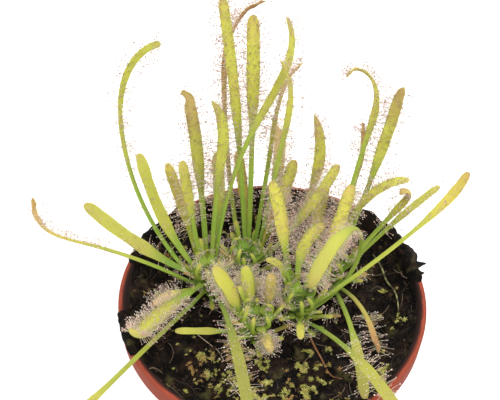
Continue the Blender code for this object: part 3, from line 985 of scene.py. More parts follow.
strand("dead_stalk", stalk_litter, 0.34 * MM, [
    (8.6, -7.2, 3.0), (10.5, -10.6, 1.6), (12.0, -14.2, 0.8), (14.0, -18.0, 0.7), (15.8, -21.6, 0.5),
    (17.4, -23.0, 0.4), (19.6, -23.9, 0.1)])
strand("dead_blade", blade_litter, 0.38 * MM, [
    (32.6, 18.6, 0.5), (34.8, 14.5, 0.7), (36.0, 9.8, 0.6), (37.4, 5.0, 0.8), (38.0, 0.6, 0.7),
    (37.6, -3.4, 0.3)])
strand("pale_root_1", root_litter, 0.16 * MM, [
    (-12.6, -24.2, 0.4), (-11.0, -26.2, 0.8), (-10.6, -28.0, 0.6), (-8.4, -30.7, 0.9), (-9.6, -33.0, 0.4),
    (-12.8, -34.2, 0.3)])
strand("pale_root_2", root_litter, 0.14 * MM, [
    (-22.0, -9.4, 0.2), (-18.0, -12.4, 0.5), (-15.0, -16.0, 0.3), (-14.0, -19.0, 0.5)])
strand("pale_root_3", root_litter, 0.13 * MM, [
    (24.0, -22.0, 0.2), (27.6, -19.0, 0.5), (30.4, -17.2, 0.3), (33.4, -17.6, 0.5)])
print("litter laid")

# %% [markdown]
# ## Leaves by a rule
#
# Each leaf is a narrow green stalk that widens into a strap with a rounded tip. Its middle line
# is walked in small steps: at each step the heading (sideways) and the pitch (up or down) follow
# a simple rule of how far along the leaf the step is. One row of numbers per leaf is enough: the
# crown, the height of its root above the peat, the heading, a sideways sway along the leaf, a
# sideways hook near the tip, the rise at the root, an arch along the leaf, a curl near the tip,
# the length, the width, the share that is blade, and a colour. The plain solids follow the same
# rule, so every fine leaf lies where its solid is.

# %% Table of leaves
LEAVES = {
    "left_hook": ("left", 4.5, 168, -108, -104, 54, -2, -30, 84, 2.0, 0.55, "green"),
    "left_fan": ("left", 9.5, 160, -48, 0, 55, 8, -20, 40, 4.0, 0.75, "green"),
    "left_wide": ("left", 8, 182, -34, 0, 37, -8, 0, 40, 4.4, 0.75, "green"),
    "left_reach": ("left", 4.5, 189, -18, -96, 44, -52, 104, 60, 2.4, 0.50, "yellow"),
    "left_low": ("left", 4.5, 249, -22, -10, 25, -42, 0, 62, 2.4, 0.30, "yellow"),
    "left_cup": ("left", 7.5, 240, 2, 0, 28, -22, 110, 38, 4.6, 0.70, "green"),
    "left_small": ("left", 4.5, 215, 10, 0, 30, -30, 0, 17, 3.2, 0.60, "orange"),
    "left_front": ("left", 6, 286, -6, 0, 40, -86, 0, 62, 3.0, 0.60, "green"),
    "left_sweep": ("left", 7, 68, -66, 128, 73, -27, 0, 81, 2.2, 0.50, "green"),
    "left_tall": ("left", 7, 97, 6, 20, 72, -12, -20, 56, 3.6, 0.58, "green"),
    "left_inner": ("left", 10.5, 78, -20, 130, 74, -14, 0, 51, 3.2, 0.55, "green"),
    "left_yellow": ("left", 4.5, 122, 0, 0, 66, -14, 0, 37, 3.2, 0.60, "yellow"),
    "left_bud": ("left", 10.5, 124, -18, 0, 78, -14, 0, 34, 3.0, 0.58, "green"),
    "left_olive": ("left", 4.5, 72, 28, 0, 59, -2, 0, 38, 3.6, 0.55, "green"),
    "right_curve": ("right", 11, 98, -78, 0, 74, -55, 0, 22, 4.0, 0.66, "green"),
    "right_slope": ("right", 8, 45, 20, 0, 60, -12, 0, 36, 3.8, 0.60, "green"),
    "right_claw": ("right", 4.5, 14, 60, -30, 33, 217, 0, 65, 3.8, 0.42, "green"),
    "right_long": ("right", 7.5, 6, 27, 12, 43, -12, 25, 59, 3.4, 0.40, "yellow"),
    "right_stand": ("right", 5, 112, -6, 30, 66, -10, 0, 38, 4.0, 0.60, "green"),
    "right_petiole": ("right", 11, 122, 46, 0, 74, -84, 0, 13, 2.6, 0.50, "green"),
    "right_stub": ("right", 6, 160, 0, 0, 46, -20, 0, 13, 3.4, 0.70, "green"),
    "right_front": ("right", 4.5, 296, 0, 0, 40, -50, 0, 52, 3.2, 0.55, "green"),
    "right_tip": ("right", 6, 268, 0, 0, 50, -60, 0, 12, 2.4, 0.60, "green"),
    "middle_arch": ("middle", 5, 21, 68, 84, 36, 38, 0, 53, 3.4, 0.52, "green"),
    "middle_orange": ("middle", 5, 90, 18, 0, 65, -12, 0, 34, 3.2, 0.55, "orange"),
    "middle_fuzzy": ("middle", 8, 34, 26, 0, 66, -14, 0, 33, 4.0, 0.60, "green"),
    "middle_red": ("middle", 11, 10, 10, 0, 84, -24, 0, 19, 2.4, 0.40, "brown"),
    "middle_wide": ("middle", 8, 83, 8, 0, 72, -24, 0, 72, 3.8, 0.50, "green"),
    "middle_tallest": ("middle", 11, 97, 10, 0, 75, -16, 0, 75, 3.0, 0.60, "green"),
    "middle_thin": ("middle", 5, 114, -36, -110, 67, -6, -40, 84, 2.6, 0.45, "brown"),
    "middle_lean": ("middle", 8, 61, 10, -80, 72, -4, -25, 63, 1.8, 0.55, "green"),
    "middle_curl": ("middle", 11, 34, 4, 150, 79, -2, -20, 64, 1.8, 0.45, "green"),
    "middle_short": ("middle", 5, 50, 44, 0, 58, -12, 0, 44, 3.4, 0.55, "green"),
    "middle_cross": ("middle", 8, 351, 58, 0, 58, -14, 0, 41, 3.4, 0.60, "green"),
    "back_drop": ("back", 4.5, 279, -6, 0, 30, -50, 0, 45, 2.8, 0.50, "green"),
    "back_brown": ("back", 4.5, 300, -26, 0, 30, -48, 0, 31, 1.8, 0.40, "brown"),
    "back_hook": ("back", 7, 22, -2, 0, 52, -4, 212, 37, 2.6, 0.50, "green"),
    "back_reach": ("back", 4.5, 28, 4, 0, 39, -22, 0, 41, 2.4, 0.55, "green"),
    "back_tall": ("back", 8, 51, 12, 0, 58, -6, 40, 57, 3.4, 0.55, "green"),
    "back_crook": ("back", 9.5, 70, -14, 200, 57, -6, -80, 66, 2.8, 0.50, "green"),
    "back_pink": ("back", 5, 72, -14, 60, 54, -6, 0, 46, 2.0, 0.50, "orange"),
    "back_side": ("back", 11, 56, -54, 0, 79, -78, 0, 35, 3.2, 0.60, "green"),
    "back_inner": ("back", 7, 128, -80, 0, 70, -24, 0, 26, 3.6, 0.60, "green"),
    "front_near": ("front", 6, 146, 12, 0, 74, -28, 0, 21, 5.4, 0.78, "green"),
    "front_nearer": ("front", 8, 106, 2, 0, 62, -14, 0, 14, 4.2, 0.80, "green"),
    "front_flat": ("front", 4.5, 188, -10, 0, 8, -10, 0, 20, 2.4, 0.70, "green"),
    "front_pink": ("front", 9, 290, 0, 0, 20, -60, 0, 8, 3.6, 0.75, "orange"),
    "front_fuzz": ("front", 10, 50, 40, 0, 72, -10, 0, 12, 3.2, 0.80, "orange"),
}
print("leaves in the table:", len(LEAVES))

# %% Walk a leaf's middle line
MIDRIB_STEP = 0.25 * MM
HOOK_FROM = 0.6  # share of the length after which the hook sets in
CURL_FROM = 0.75
BASE_BEND = 5.0 * MM
BASE_DROOP = 0.45


def smooth(value, low, high):
    """0 below low, 1 above high, with a soft step between."""
    t = min(1.0, max(0.0, (value - low) / (high - low)))
    return t * t * (3 - 2 * t)


def leaf_angles(row, distance):
    """Heading and pitch of the middle line at a distance from the root."""
    heading, sway, hook, rise, arch, curl, length = row
    t = distance / length
    hooked = max(0.0, (t - HOOK_FROM) / (1 - HOOK_FROM)) ** 2
    curled = max(0.0, (t - CURL_FROM) / (1 - CURL_FROM)) ** 2
    near_root = max(0.0, 1 - distance / BASE_BEND) ** 2
    bend = arch * t ** 1.5
    turn = heading + sway * t + hook * hooked
    pitch = (rise + bend + curl * curled) * (1 - BASE_DROOP * near_root)
    return math.radians(turn), math.radians(pitch)


def heading_vector(turn, pitch):
    level = math.cos(pitch)
    return Vector((math.cos(turn) * level, math.sin(turn) * level, math.sin(pitch)))


def midrib(row, start, distances):
    """Place, forward, left and up at each distance from the root."""
    place = Vector(start)
    walked = 0.0
    frames = []
    for distance in distances:
        while walked < distance - 1e-9:
            step = min(MIDRIB_STEP, distance - walked)
            place = place + heading_vector(*leaf_angles(row, walked + step / 2)) * step
            walked += step
        turn, pitch = leaf_angles(row, distance)
        forward = heading_vector(turn, pitch)
        left = Vector((-math.sin(turn), math.cos(turn), 0.0))
        frames.append((place.copy(), forward, left, forward.cross(left)))
    return frames


example = leaf_angles((90, 8, 0, 72, -24, 0, 70 * MM), 70 * MM)
print("heading and pitch at an example tip:", [round(math.degrees(angle)) for angle in example])

# %% [markdown]
# ## The strap
#
# A leaf is a loft: the same ring of points is set down every 0.85 mm along the middle line and
# joined to the ring before it. The ring is a flat oval that is bent up at its two margins, as
# the real blade is. Its width comes from the rule too, with a ripple along the margins that the
# plain solid leaves out. The root is drawn in to the crown, where real leaves clasp it. Blades
# also differ in ways that no rule gives: one is rolled on its side, the next is withered, and
# each gets painted light or shade: its colour is made lighter or darker for how the light falls on it.

# %% What sets single leaves apart
ROLL = {  # turn of the blade about its middle line, in degrees
    "left_hook": 62.0, "left_reach": 48.0, "left_sweep": 40.0, "middle_thin": -35.0, "middle_curl": 30.0,
    "back_crook": 45.0, "left_fan": 18.0, "middle_lean": -25.0, "back_pink": -30.0, "right_long": -15.0,
    "front_near": 180.0, "front_nearer": 180.0}
# Painted light: leaves that aren't listed are made a little lighter, for the shade that hairs and other
# leaves cast on them.
USUAL_PAINTED_LIGHT = 1.14
PAINTED_LIGHT = {  # painted light and shade: the leaf's colour is multiplied by this, above 1 to lighten a shaded leaf, below 1 to darken one that faces the lamp
    "left_front": 0.62, "right_front": 0.80, "back_drop": 0.85, "middle_wide": 1.25, "left_wide": 0.88,
    "left_fan": 1.05, "left_tall": 0.92, "right_claw": 0.95, "middle_arch": 1.1, "back_tall": 1.1,
    "front_near": 1.12, "front_nearer": 1.12, "left_low": 0.9, "middle_fuzzy": 1.3, "right_slope": 1.3,
    "right_curve": 1.3, "middle_cross": 1.3, "right_stand": 1.3, "back_inner": 1.3, "back_side": 1.2}
USUAL_AGE = 0.1
AGED = {  # 1 is an old leaf with a pink, withered tip
    "left_tall": 0.9, "back_tall": 0.7, "middle_thin": 1.0, "left_reach": 1.0, "back_pink": 1.0,
    "back_crook": 0.6, "middle_arch": 0.5, "right_long": 0.15, "back_brown": 1.0, "middle_short": 1.0,
    "front_pink": 0.6, "front_fuzz": 0.5, "middle_lean": 0.8, "back_hook": 0.8, "left_hook": 0.0}
print("leaves that are rolled:", len(ROLL))

# %% Ring of points round a leaf
AROUND = 16
CHANNEL = 0.13  # depth of the trough along the leaf, as a share of its width
ROOT_WIDTH = 1.2 * MM
PETIOLE_WIDTH = 1.4 * MM
PETIOLE_SHARE = 0.80
PETIOLE_RAMP = 10.0 * MM
SWELL_SHARE = 0.22
SHEATH = 2.2 * MM
CLASP = 1.5 * MM
TIP_BLUNT = 0.16
TIP_REACH = 1.3  # the tip is rounded off over this many widths of the blade


def leaf_width(distance, length, share, blade):
    """Width of the leaf at a distance from its root, and 0 on the stalk to 1 on the blade."""
    petiole = length * (1 - share)
    swell = smooth(distance, petiole, petiole + length * SWELL_SHARE)
    plain = max(PETIOLE_WIDTH, PETIOLE_SHARE * share * blade)
    stalk = ROOT_WIDTH + (plain - ROOT_WIDTH) * min(1.0, distance / PETIOLE_RAMP)
    width = stalk + (blade - plain) * swell
    width += CLASP * max(0.0, 1 - distance / SHEATH) ** 1.5
    to_tip = (length - distance) / (TIP_REACH * blade)
    if to_tip < 1.0:
        width *= TIP_BLUNT + (1 - TIP_BLUNT) * math.sqrt(max(0.0, 1 - (1 - to_tip) ** 2.2))
    return width, swell


def ring_of(frame, width, thick, ripple):
    """Points round the leaf, with how far across and how far up each is, from -1 to 1."""
    place, _, left, up = frame
    points = []
    for i in range(AROUND):
        angle = math.tau * i / AROUND
        across = math.copysign(abs(math.cos(angle)) ** 0.85, math.cos(angle))
        rise = math.sin(angle) * math.sqrt(max(0.0, 1 - 0.62 * across * across))
        trough = CHANNEL * width * (across * across - 0.4)
        wave = ripple * across * across * (1 if across > 0 else -1)
        point = place + left * (across * width / 2) + up * (trough + rise * thick / 2 + wave)
        points.append((point, across, rise))
    return points


print("points round a leaf:", AROUND)

# %% Numbers that hairs and colours need
HAIR_LONG = 3.2 * MM
HAIR_SHORT = 0.8 * MM
USUAL_FUZZ = 0.78
FUZZY = {  # how thickly hairs stand on a leaf
    "left_cup": 1.0, "right_claw": 1.0, "front_near": 1.25, "front_nearer": 1.25, "right_curve": 1.0,
    "middle_cross": 1.0, "middle_fuzzy": 1.0, "right_slope": 0.9, "back_inner": 0.9, "right_tip": 0.3,
    "back_brown": 0.3, "back_side": 0.8, "right_stand": 0.8, "left_fan": 0.15, "left_wide": 0.12,
    "left_front": 0.34, "right_front": 0.22, "left_low": 0.05, "right_long": 0.3, "back_reach": 0.35,
    "front_flat": 0.0, "back_drop": 0.15}
SHAGGY = ("front_pink", "front_fuzz")  # small leaves with hairs all over, also underneath
SHAGGY_HAIR = 0.7  # their length, as a share of the longest hairs
MIDDLE_FUZZ = 0.05
LEAN_OUT = 1.15
LEAN_ON = 0.25  # towards the tip, and the next number is added at the tip itself
LEAN_ON_AT_TIP = 0.5


def curl_room(here, there):
    """Room above the leaf before it meets itself where it curls over."""
    bend = here[1].angle(there[1])
    if there[1].dot(here[3]) <= 0 or bend < 0.004:
        return HAIR_LONG
    return min(HAIR_LONG, (there[0] - here[0]).length / bend * 0.5)


def hair_numbers(name, frame, across, rise, along, room, share):
    """Share of hairs, their length and their lean at one point of the ring."""
    margin = abs(across)
    petiole = 1 - share
    on_blade = smooth(along, 0.86 * petiole, 1.12 * petiole + 0.02)
    if name in SHAGGY:
        share_here = on_blade * (0.16 + 0.5 * margin)
        length = min(room, SHAGGY_HAIR * HAIR_LONG)
    else:
        on_top = smooth(rise, -0.45, 0.15)
        dense = MIDDLE_FUZZ + (1 - MIDDLE_FUZZ) * margin ** 2.5
        share_here = on_top * on_blade * dense * FUZZY.get(name, USUAL_FUZZ)
        length = min(room, HAIR_SHORT + (HAIR_LONG - HAIR_SHORT) * margin ** 1.6)
    sideways = frame[2] * (LEAN_OUT * across * margin)
    onwards = frame[1] * (LEAN_ON + LEAN_ON_AT_TIP * smooth(along, 0.9, 1.0))
    return share_here, length, sideways + onwards


def write_numbers(mesh, numbers, luck, age, shade):
    """Along, swell, across and one random number go in a colour. The others are separate."""
    shades = mesh.attributes.new("leaf_map", "FLOAT_COLOR", "POINT")
    shades.data.foreach_set("color", [v for n in numbers for v in (n[0], n[1], 0.5 + 0.5 * n[2], luck)])
    separate = {
        "upper": [0.5 + 0.5 * n[3] for n in numbers],
        "hair_share": [n[4] for n in numbers],
        "hair_length": [n[5] for n in numbers],
        "age": [age] * len(numbers),
        "shade": [shade] * len(numbers),
    }
    for key, values in separate.items():
        mesh.attributes.new(key, "FLOAT", "POINT").data.foreach_set("value", values)
    leans = mesh.attributes.new("hair_lean", "FLOAT_VECTOR", "POINT")
    leans.data.foreach_set("vector", [v for n in numbers for v in n[6]])


print(f"hairs from {HAIR_SHORT / MM:.2f} to {HAIR_LONG / MM:.1f} mm")

# %% Rings, waves and roll along a leaf
STATION = 0.85 * MM
ROLL_FROM = 0.25  # share of the length where a roll sets in, and where it is complete
ROLL_BY = 0.75


def stations(length):
    """Distances from the root at which a ring is set down, closer together at the very tip."""
    count = round(length / STATION)
    distances = [length * (i / count) for i in range(count)]
    return distances + [length * (1 - 0.35 / count), length * (1 - 0.1 / count), length]


def waver(place, line, shift):
    """Smooth noise along a leaf. Each line of it differs, and so does the noise of each leaf."""
    return noise.noise(Vector((place, line, 0.0)) + shift)


def rolled(name, frame, along, crook):
    """The frame moved sideways by a crook and turned. A half turn is there from the root on."""
    place, forward, left, up = frame
    roll = math.radians(ROLL.get(name, 0.0))
    if abs(roll) < math.pi / 2:
        roll *= smooth(along, ROLL_FROM, ROLL_BY)
    spin = Matrix.Rotation(roll, 3, forward)
    return place + left * crook, forward, spin @ left, spin @ up


print("rings on a leaf of 40 mm:", len(stations(40 * MM)))

# %% Loft of a leaf
ROOT_GAP = 0.3 * MM
ROOT_DEPTH = 1.3 * MM
PETIOLE_THICK = 1.0 * MM
BLADE_THICK = 0.7 * MM
TIP_THINS = 1.6 * MM
WIDTH_WAVE = 0.07
WIDTH_SPREAD = 5.0 * MM
MARGIN_WAVE = 0.25 * MM
MARGIN_SPREAD = 3.5 * MM
WITHERED_FROM = 0.86
WITHERED_SHRINK = 0.40
WITHERED_CRUMPLE = 1.6 * MM
CRUMPLE_SPREAD = 1.7 * MM
WITHERED_CROOK = 2.2 * MM
CROOK_SPREAD = 3.0 * MM


def leaf_mesh(name, row, seed):
    """The strap of one leaf, with the numbers that its colours and its hairs need."""
    crown, lift, heading, sway, hook, rise, arch, curl, length, blade, share, _ = row
    length *= MM
    blade *= MM
    age = AGED.get(name, USUAL_AGE)
    rng = random.Random(seed)
    shift = Vector((rng.uniform(0, 90), rng.uniform(0, 90), 0.0))
    turn = math.radians(heading)
    reach = CROWN_RADIUS + ROOT_GAP
    cx, cy = CROWNS[crown]
    start = (cx + reach * math.cos(turn), cy + reach * math.sin(turn), PEAT_LEVEL + lift * MM)
    distances = stations(length)
    frames = midrib((heading, sway, hook, rise, arch, curl, length), start, distances)
    inward = Vector((-math.cos(turn), -math.sin(turn), -0.35))
    frames.insert(0, (frames[0][0] + inward * ROOT_DEPTH, *frames[0][1:]))
    distances.insert(0, 0.0)
    points, numbers = [], []
    for i, (distance, frame) in enumerate(zip(distances, frames)):
        along = distance / length
        room = curl_room(frames[i - 1], frame) if i > 1 else HAIR_LONG
        withered = age ** 2 * smooth(along, WITHERED_FROM, 1.0)
        width, swell = leaf_width(distance, length, share, blade)
        wavy = swell * waver(distance / WIDTH_SPREAD, 0.0, shift)
        width *= 1 + WIDTH_WAVE * wavy - WITHERED_SHRINK * withered
        ripple = MARGIN_WAVE * swell * waver(distance / MARGIN_SPREAD, 4.0, shift)
        ripple += WITHERED_CRUMPLE * withered * waver(distance / CRUMPLE_SPREAD, 9.0, shift)
        thick = PETIOLE_THICK + (BLADE_THICK - PETIOLE_THICK) * swell
        thick *= 0.3 + 0.7 * smooth(length - distance, 0.0, TIP_THINS)
        crook = WITHERED_CROOK * withered * waver(distance / CROOK_SPREAD, 15.0, shift)
        frame = rolled(name, frame, along, crook)
        for point, across, height in ring_of(frame, width, thick, ripple):
            points.append(point)
            hair = hair_numbers(name, frame, across, height, along, room, share)
            numbers.append((along, swell, across, height, *hair))
    mesh = bpy.data.meshes.new(name)
    mesh.from_pydata(points, [], tube_faces(len(frames), AROUND))
    write_numbers(mesh, numbers, rng.random(), age, PAINTED_LIGHT.get(name, USUAL_PAINTED_LIGHT))
    return mesh


test = leaf_mesh("test", LEAVES["left_wide"], 1)
print("points in one leaf:", len(test.vertices))
print("what they carry:", [marks.name for marks in test.attributes])
bpy.data.meshes.remove(test)

# %% [markdown]
# ## Leaf colour
#
# The stalk is grass green, the blade lime to yellow, and the tip goes pinkish brown as the leaf
# ages. The mesh says how far along and how far across each point is, so the colours follow the
# leaf however it bends. Fine veins run along the leaf, small reddish dots on its upper side stand
# for the feet of hairs, and a little light passes through the thin blade.

# %% Finishes of the leaves
def leaf_finish(name, stalk, blade, tip, tip_share):
    """Stalk, blade and tip are colours, and tip share is how much of the tip's colour shows."""
    made, tree, shader, place = new_finish(
        name, Subsurface_Weight=0.30, Subsurface_Scale=0.9 * MM,
        Subsurface_Radius=(1.0, 1.0, 0.25), Specular_IOR_Level=0.4)
    leaf = add(tree, "ShaderNodeAttribute", attribute_name="leaf_map")
    along, swell, across = add(tree, "ShaderNodeSeparateXYZ", {0: leaf.outputs["Vector"]}).outputs
    luck = leaf.outputs["Alpha"]
    broad = grain(tree, place, 90.0)
    fine = grain(tree, place, 900.0, 4.0)
    stalk_here = mix(tree, threshold(tree, along, 0.05, 0.55), (0.115, 0.26, 0.013), stalk)
    plain = mix(tree, swell, stalk_here, blade)
    cloudy = mix(tree, threshold(tree, broad, 0.35, 0.7), plain, mix(tree, swell, blade, tip))
    base = mix(tree, 0.7, cloudy, plain)
    base = mix(tree, times(tree, luck, 0.25), base, stalk)
    uneven = plus(tree, times(tree, fine, 0.12), times(tree, stored(tree, "age"), 0.22))
    pink = threshold(tree, plus(tree, along, uneven), 0.95, 1.20)
    base = mix(tree, times(tree, pink, tip_share), base, tip)
    lines = add(tree, "ShaderNodeCombineXYZ", {0: across, 1: times(tree, along, 0.6), 2: luck}).outputs[0]
    veins = add(tree, "ShaderNodeTexWave", {
        "Vector": lines, "Scale": 3.2, "Distortion": 1.2, "Detail": 2.0}, bands_direction="X").outputs[1]
    base = mix(tree, times(tree, veins, 0.16), base, stalk)
    cells = add(tree, "ShaderNodeTexVoronoi", {"Vector": place, "Scale": 1500.0}).outputs["Distance"]
    dots = maths(tree, "SUBTRACT", 1.0, threshold(tree, cells, 0.12, 0.30))
    dots = times(tree, times(tree, dots, swell), times(tree, stored(tree, "upper"), 0.16))
    base = mix(tree, dots, base, (0.50, 0.20, 0.10))
    base = mix(tree, times(tree, fine, 0.16), base, (0.75, 0.78, 0.30))
    # Painted light and shade: the colour is multiplied by a number for each leaf, lighter for a leaf in
    # shade, darker for one that faces the lamp.
    shade = stored(tree, "shade")
    shade = add(tree, "ShaderNodeCombineColor", {0: shade, 1: shade, 2: shade}).outputs[0]
    base = mix(tree, 1.0, base, shade, "MULTIPLY")
    height = plus(tree, veins, times(tree, fine, 0.8))
    connect(tree, shader, base, raised(tree, fine, 0.22, 0.56), height, 0.12 * MM, 0.6)
    return made


TONES = {
    "green": leaf_finish("leaf_green", (0.21, 0.30, 0.018), (0.42, 0.40, 0.040), (0.42, 0.24, 0.10), 0.75),
    "yellow": leaf_finish("leaf_yellow", (0.30, 0.34, 0.025), (0.48, 0.42, 0.045), (0.48, 0.26, 0.09), 0.85),
    "orange": leaf_finish("leaf_orange", (0.34, 0.34, 0.035), (0.50, 0.40, 0.085), (0.55, 0.29, 0.17), 0.80),
    "brown": leaf_finish("leaf_brown", (0.30, 0.24, 0.04), (0.38, 0.20, 0.07), (0.24, 0.09, 0.045), 0.9),
}
print("leaf finishes:", [finish.name for finish in TONES.values()])

# %% [markdown]
# ## Hairs with drops
#
# A sundew's hairs are called tentacles. Short ones stand in the middle of the blade and long
# ones lean out at the margins. Each is a thin stalk with a gland that sweats a clear, sticky
# drop. Both are scattered by one tree: it reads the share, the length and the lean of the hairs
# from the leaf, puts a curved stalk on every point, and one drop where each stalk ends.

# %% Finishes of the hairs
SUNBURN = 0.42
BURNT_FROM = 80.0 * MM
BURNT_BY = 104.0 * MM


def sunburn(tree, place):
    """0 low down, and more on the tall leaves, whose glands are redder."""
    return times(tree, threshold(tree, height_of(tree, place), BURNT_FROM, BURNT_BY), SUNBURN)


stalk_finish, tree, shader, place = new_finish(
    "hair_stalk", Subsurface_Weight=0.25, Subsurface_Scale=0.3 * MM, Specular_IOR_Level=0.5)
fine = grain(tree, place, 1200.0)
base = mix(tree, stored(tree, "tint"), (0.84, 0.68, 0.54), (0.62, 0.32, 0.26))
base = mix(tree, sunburn(tree, place), base, (0.45, 0.20, 0.13))
base = mix(tree, threshold(tree, stored(tree, "reach"), 0.0, 0.6), (0.62, 0.62, 0.26), base)
base = mix(tree, times(tree, fine, 0.3), base, (0.85, 0.82, 0.70))
connect(tree, shader, base, raised(tree, fine, 0.35), fine, 0.03 * MM, 0.3)

drop_finish, tree, shader, place = new_finish(
    "clear_drop", Transmission_Weight=0.65, IOR=1.36, Specular_IOR_Level=0.5)
fine = grain(tree, place, 1400.0)
# The pale colours are partly painted highlight: a whitish tone that stands in for the gloss on a clear drop.
# The brown end is the gland seen through the drop.
base = mix(tree, stored(tree, "tint"), (0.94, 0.86, 0.76), (0.46, 0.27, 0.20))
base = mix(tree, times(tree, fine, 0.3), base, (0.95, 0.85, 0.78))
base = mix(tree, sunburn(tree, place), base, (0.30, 0.13, 0.085))
connect(tree, shader, base, raised(tree, fine, 0.12), fine, 0.02 * MM, 0.2)
print("hair finishes:", stalk_finish.name, drop_finish.name)

# %% A tree that grows hairs
BOW = 5.0  # sideways bow of a stalk, in stalk radii


def bowed_stalk(tree):
    """A stalk one unit long and about one unit in radius, bowed to one side."""
    cone = add(tree, "GeometryNodeMeshCone", {
        "Vertices": 3, "Side Segments": 2, "Radius Top": 0.6, "Radius Bottom": 1.6, "Depth": 1.0})
    height = height_of(tree, position(tree))
    bow = times(tree, maths(tree, "POWER", height, 2.0), BOW)
    bowed = moved(tree, cone.outputs[0], add(tree, "ShaderNodeCombineXYZ", {0: bow}).outputs[0])
    return keep(tree, bowed, "reach", height, "POINT")


def hair_tree():
    """Bowed stalks with a drop at each end, where a leaf's own numbers ask for them."""
    tree, given = start_tree("sticky_hairs", Spacing=0.16 * MM, Density=3.7e7, Stalk_Radius=0.034 * MM,
                             Drop_Radius=0.125 * MM, Length=1.0, Unrest=0.25, Seed=1)
    feet = spread(tree, given, "hair_share")
    points = feet.outputs[0]
    wild = chance(tree, (-1.0, -1.0, -1.0), (1.0, 1.0, 1.0), 11)
    wild = vector(tree, "SCALE", wild, given.outputs["Unrest"])
    aim = vector(tree, "ADD", feet.outputs["Normal"], attribute(tree, "hair_lean", "FLOAT_VECTOR"))
    aim = vector(tree, "NORMALIZE", vector(tree, "ADD", aim, wild))
    turn = turned_to(tree, aim, chance(tree, (0.0, 0.0, 0.0), (0.0, 0.0, math.tau), 13))
    length = times(tree, attribute(tree, "hair_length"), chance(tree, 0.7, 1.15, 15))
    length = times(tree, length, given.outputs["Length"])
    radius = given.outputs["Stalk Radius"]
    scale = add(tree, "ShaderNodeCombineXYZ", {0: radius, 1: radius, 2: length}).outputs[0]
    stalks = copies_on(tree, points, bowed_stalk(tree), turn, scale)
    end = add(tree, "ShaderNodeCombineXYZ", {0: times(tree, radius, BOW), 2: length}).outputs[0]
    end = add(tree, "FunctionNodeRotateVector", {"Vector": end, "Rotation": turn}).outputs[0]
    ball = add(tree, "GeometryNodeMeshIcoSphere", {"Radius": 1.0, "Subdivisions": 1}).outputs[0]
    swell = times(tree, given.outputs["Drop Radius"], chance(tree, 0.55, 1.25, 17))
    swell = times(tree, swell, raised(tree, attribute(tree, "hair_length"), 0.45 / HAIR_LONG, 1.05))
    drop_size = vector(tree, "SCALE", (1.0, 1.0, 1.2), swell)
    drops = copies_on(tree, moved(tree, points, end), ball, turn, drop_size)
    parts = [given.outputs[0]]
    for copies, finish in ((stalks, stalk_finish), (drops, drop_finish)):
        tinted = keep(tree, copies, "tint", chance(tree, 0.0, 1.0, 19))
        parts.append(made_real(tree, tinted, finish))
    add(tree, "NodeGroupOutput", {0: joined(tree, parts)})
    return tree


hairs = hair_tree()
print("nodes in the hair tree:", len(hairs.nodes))

# %% Grow every leaf
total = 0
for number, (name, row) in enumerate(LEAVES.items()):
    tone = row[-1]
    leaf = new_object(f"{name}_strap", leaf_mesh(name, row, 100 + number), TONES[tone])
    total += run_tree(leaf, hairs, {"Seed": 200 + number})
    hand_over(leaf, f"leaf_{tone}", f"{name}_leaf")
print("faces of all the leaves:", total)

# %% [markdown]
# ## Crowns
#
# A crown is the short stem that the leaves spring from. One never sees it bare: it is wrapped in
# the bases of old leaves, and new leaves uncurl from its middle. Each new base comes a golden
# angle, 137.5 degrees, after the last, which is how most plants pack their leaves. The bases and
# the young leaves are grown by the same leaf rule as the big ones, only short, narrow and curved.

# %% Finish of the crowns
crown_finish, tree, shader, place = new_finish(
    "crown_stem", Subsurface_Weight=0.15, Subsurface_Scale=0.8 * MM)
stretched = add(tree, "ShaderNodeMapping", {"Vector": place, "Scale": (1.0, 1.0, 0.25)}).outputs[0]
streaks = grain(tree, stretched, 1300.0, 4.0)
broad = grain(tree, place, 260.0)
base = mix(tree, threshold(tree, broad, 0.42, 0.70), (0.055, 0.11, 0.008), (0.11, 0.12, 0.020))
base = mix(tree, times(tree, streaks, 0.3), base, (0.06, 0.075, 0.010))
connect(tree, shader, base, raised(tree, streaks, 0.5), streaks, 0.25 * MM, 0.8)
print("finish:", crown_finish.name)

# %% Core of a crown
CORE = [(3.3, 55.0), (3.4, 60.0), (3.1, 63.5), (2.5, 66.4), (1.6, 68.0), (0.5, 68.6)]  # in mm
CORE_SIDES = 24
SCAR_DEPTH = 0.10  # share of the radius
SCARS_PER_MM = 0.9


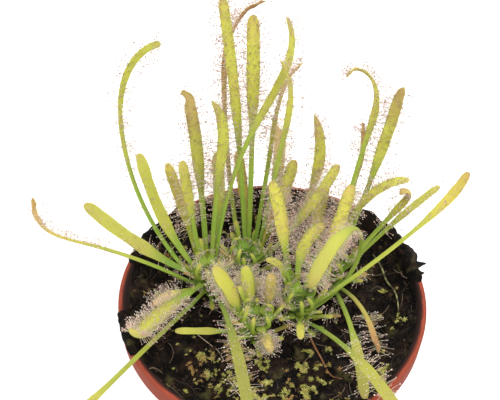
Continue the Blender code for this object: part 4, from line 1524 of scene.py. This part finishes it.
def crown_core(name, cx, cy):
    """A short tapered stem with scars left by old leaves."""
    points = []
    for radius, height in CORE:
        for i in range(CORE_SIDES):
            angle = math.tau * i / CORE_SIDES
            spot = Vector((cx / MM + radius * math.cos(angle), cy / MM + radius * math.sin(angle), height))
            scarred = radius * (1 + SCAR_DEPTH * noise.noise(spot * SCARS_PER_MM)) * MM
            points.append((cx + scarred * math.cos(angle), cy + scarred * math.sin(angle), height * MM))
    mesh = bpy.data.meshes.new(name)
    mesh.from_pydata(points, [], tube_faces(len(CORE), CORE_SIDES))
    return new_object(name, mesh, crown_finish)


print("rings in a crown's core:", len(CORE))

# %% Build the crowns
GOLDEN = 137.5
BASES = 15
YOUNG = 8
YOUNG_HAIR = 0.7
YOUNG_DROP = 0.13 * MM


def base_row(crown, i, turn, rng):
    """The base of an old leaf. Each one stands higher and steeper than the last."""
    return (crown, 1.5 + 0.62 * i, turn, rng.uniform(-10, 10), 0, 30 + 3.2 * i, rng.uniform(-30, -5), 0,
            rng.uniform(6, 10), 1.8, 0.30, "green")


def young_row(crown, i, turn, rng):
    """A young leaf that bends over the middle of its crown."""
    return (crown, 7.5 + 0.4 * i, turn, rng.uniform(-30, 30), 0, 80, rng.uniform(40, 90), 0,
            rng.uniform(5, 8), 1.3, 0.3, "green")


def fuse(objects, name):
    """Join several objects into the first."""
    with bpy.context.temp_override(active_object=objects[0], selected_editable_objects=objects):
        bpy.ops.object.join()
    objects[0].name = name
    return objects[0]


for number, (name, (cx, cy)) in enumerate(CROWNS.items()):
    rng = random.Random(50 + number)
    parts = [crown_core(f"{name}_core", cx, cy)]
    for i in range(BASES + YOUNG):
        turn = (GOLDEN * i + rng.uniform(-14, 14)) % 360
        row = base_row(name, i, turn, rng) if i < BASES else young_row(name, i - BASES, turn, rng)
        mesh = leaf_mesh(f"{name}_part_{i}", row, 900 + 40 * number + i)
        every_fourth_base = i < BASES and i % 4 == 0
        leaf = new_object(mesh.name, mesh, TONES["brown" if every_fourth_base else "green"])
        seed = 400 + 40 * number + i
        run_tree(leaf, hairs, {"Seed": seed, "Length": YOUNG_HAIR, "Drop_Radius": YOUNG_DROP})
        parts.append(leaf)
    crown = fuse(parts, f"{name}_crown_bases")
    hand_over(crown, "crown_stem", f"{name}_crown")
    print(crown.name, "faces:", len(crown.data.polygons))
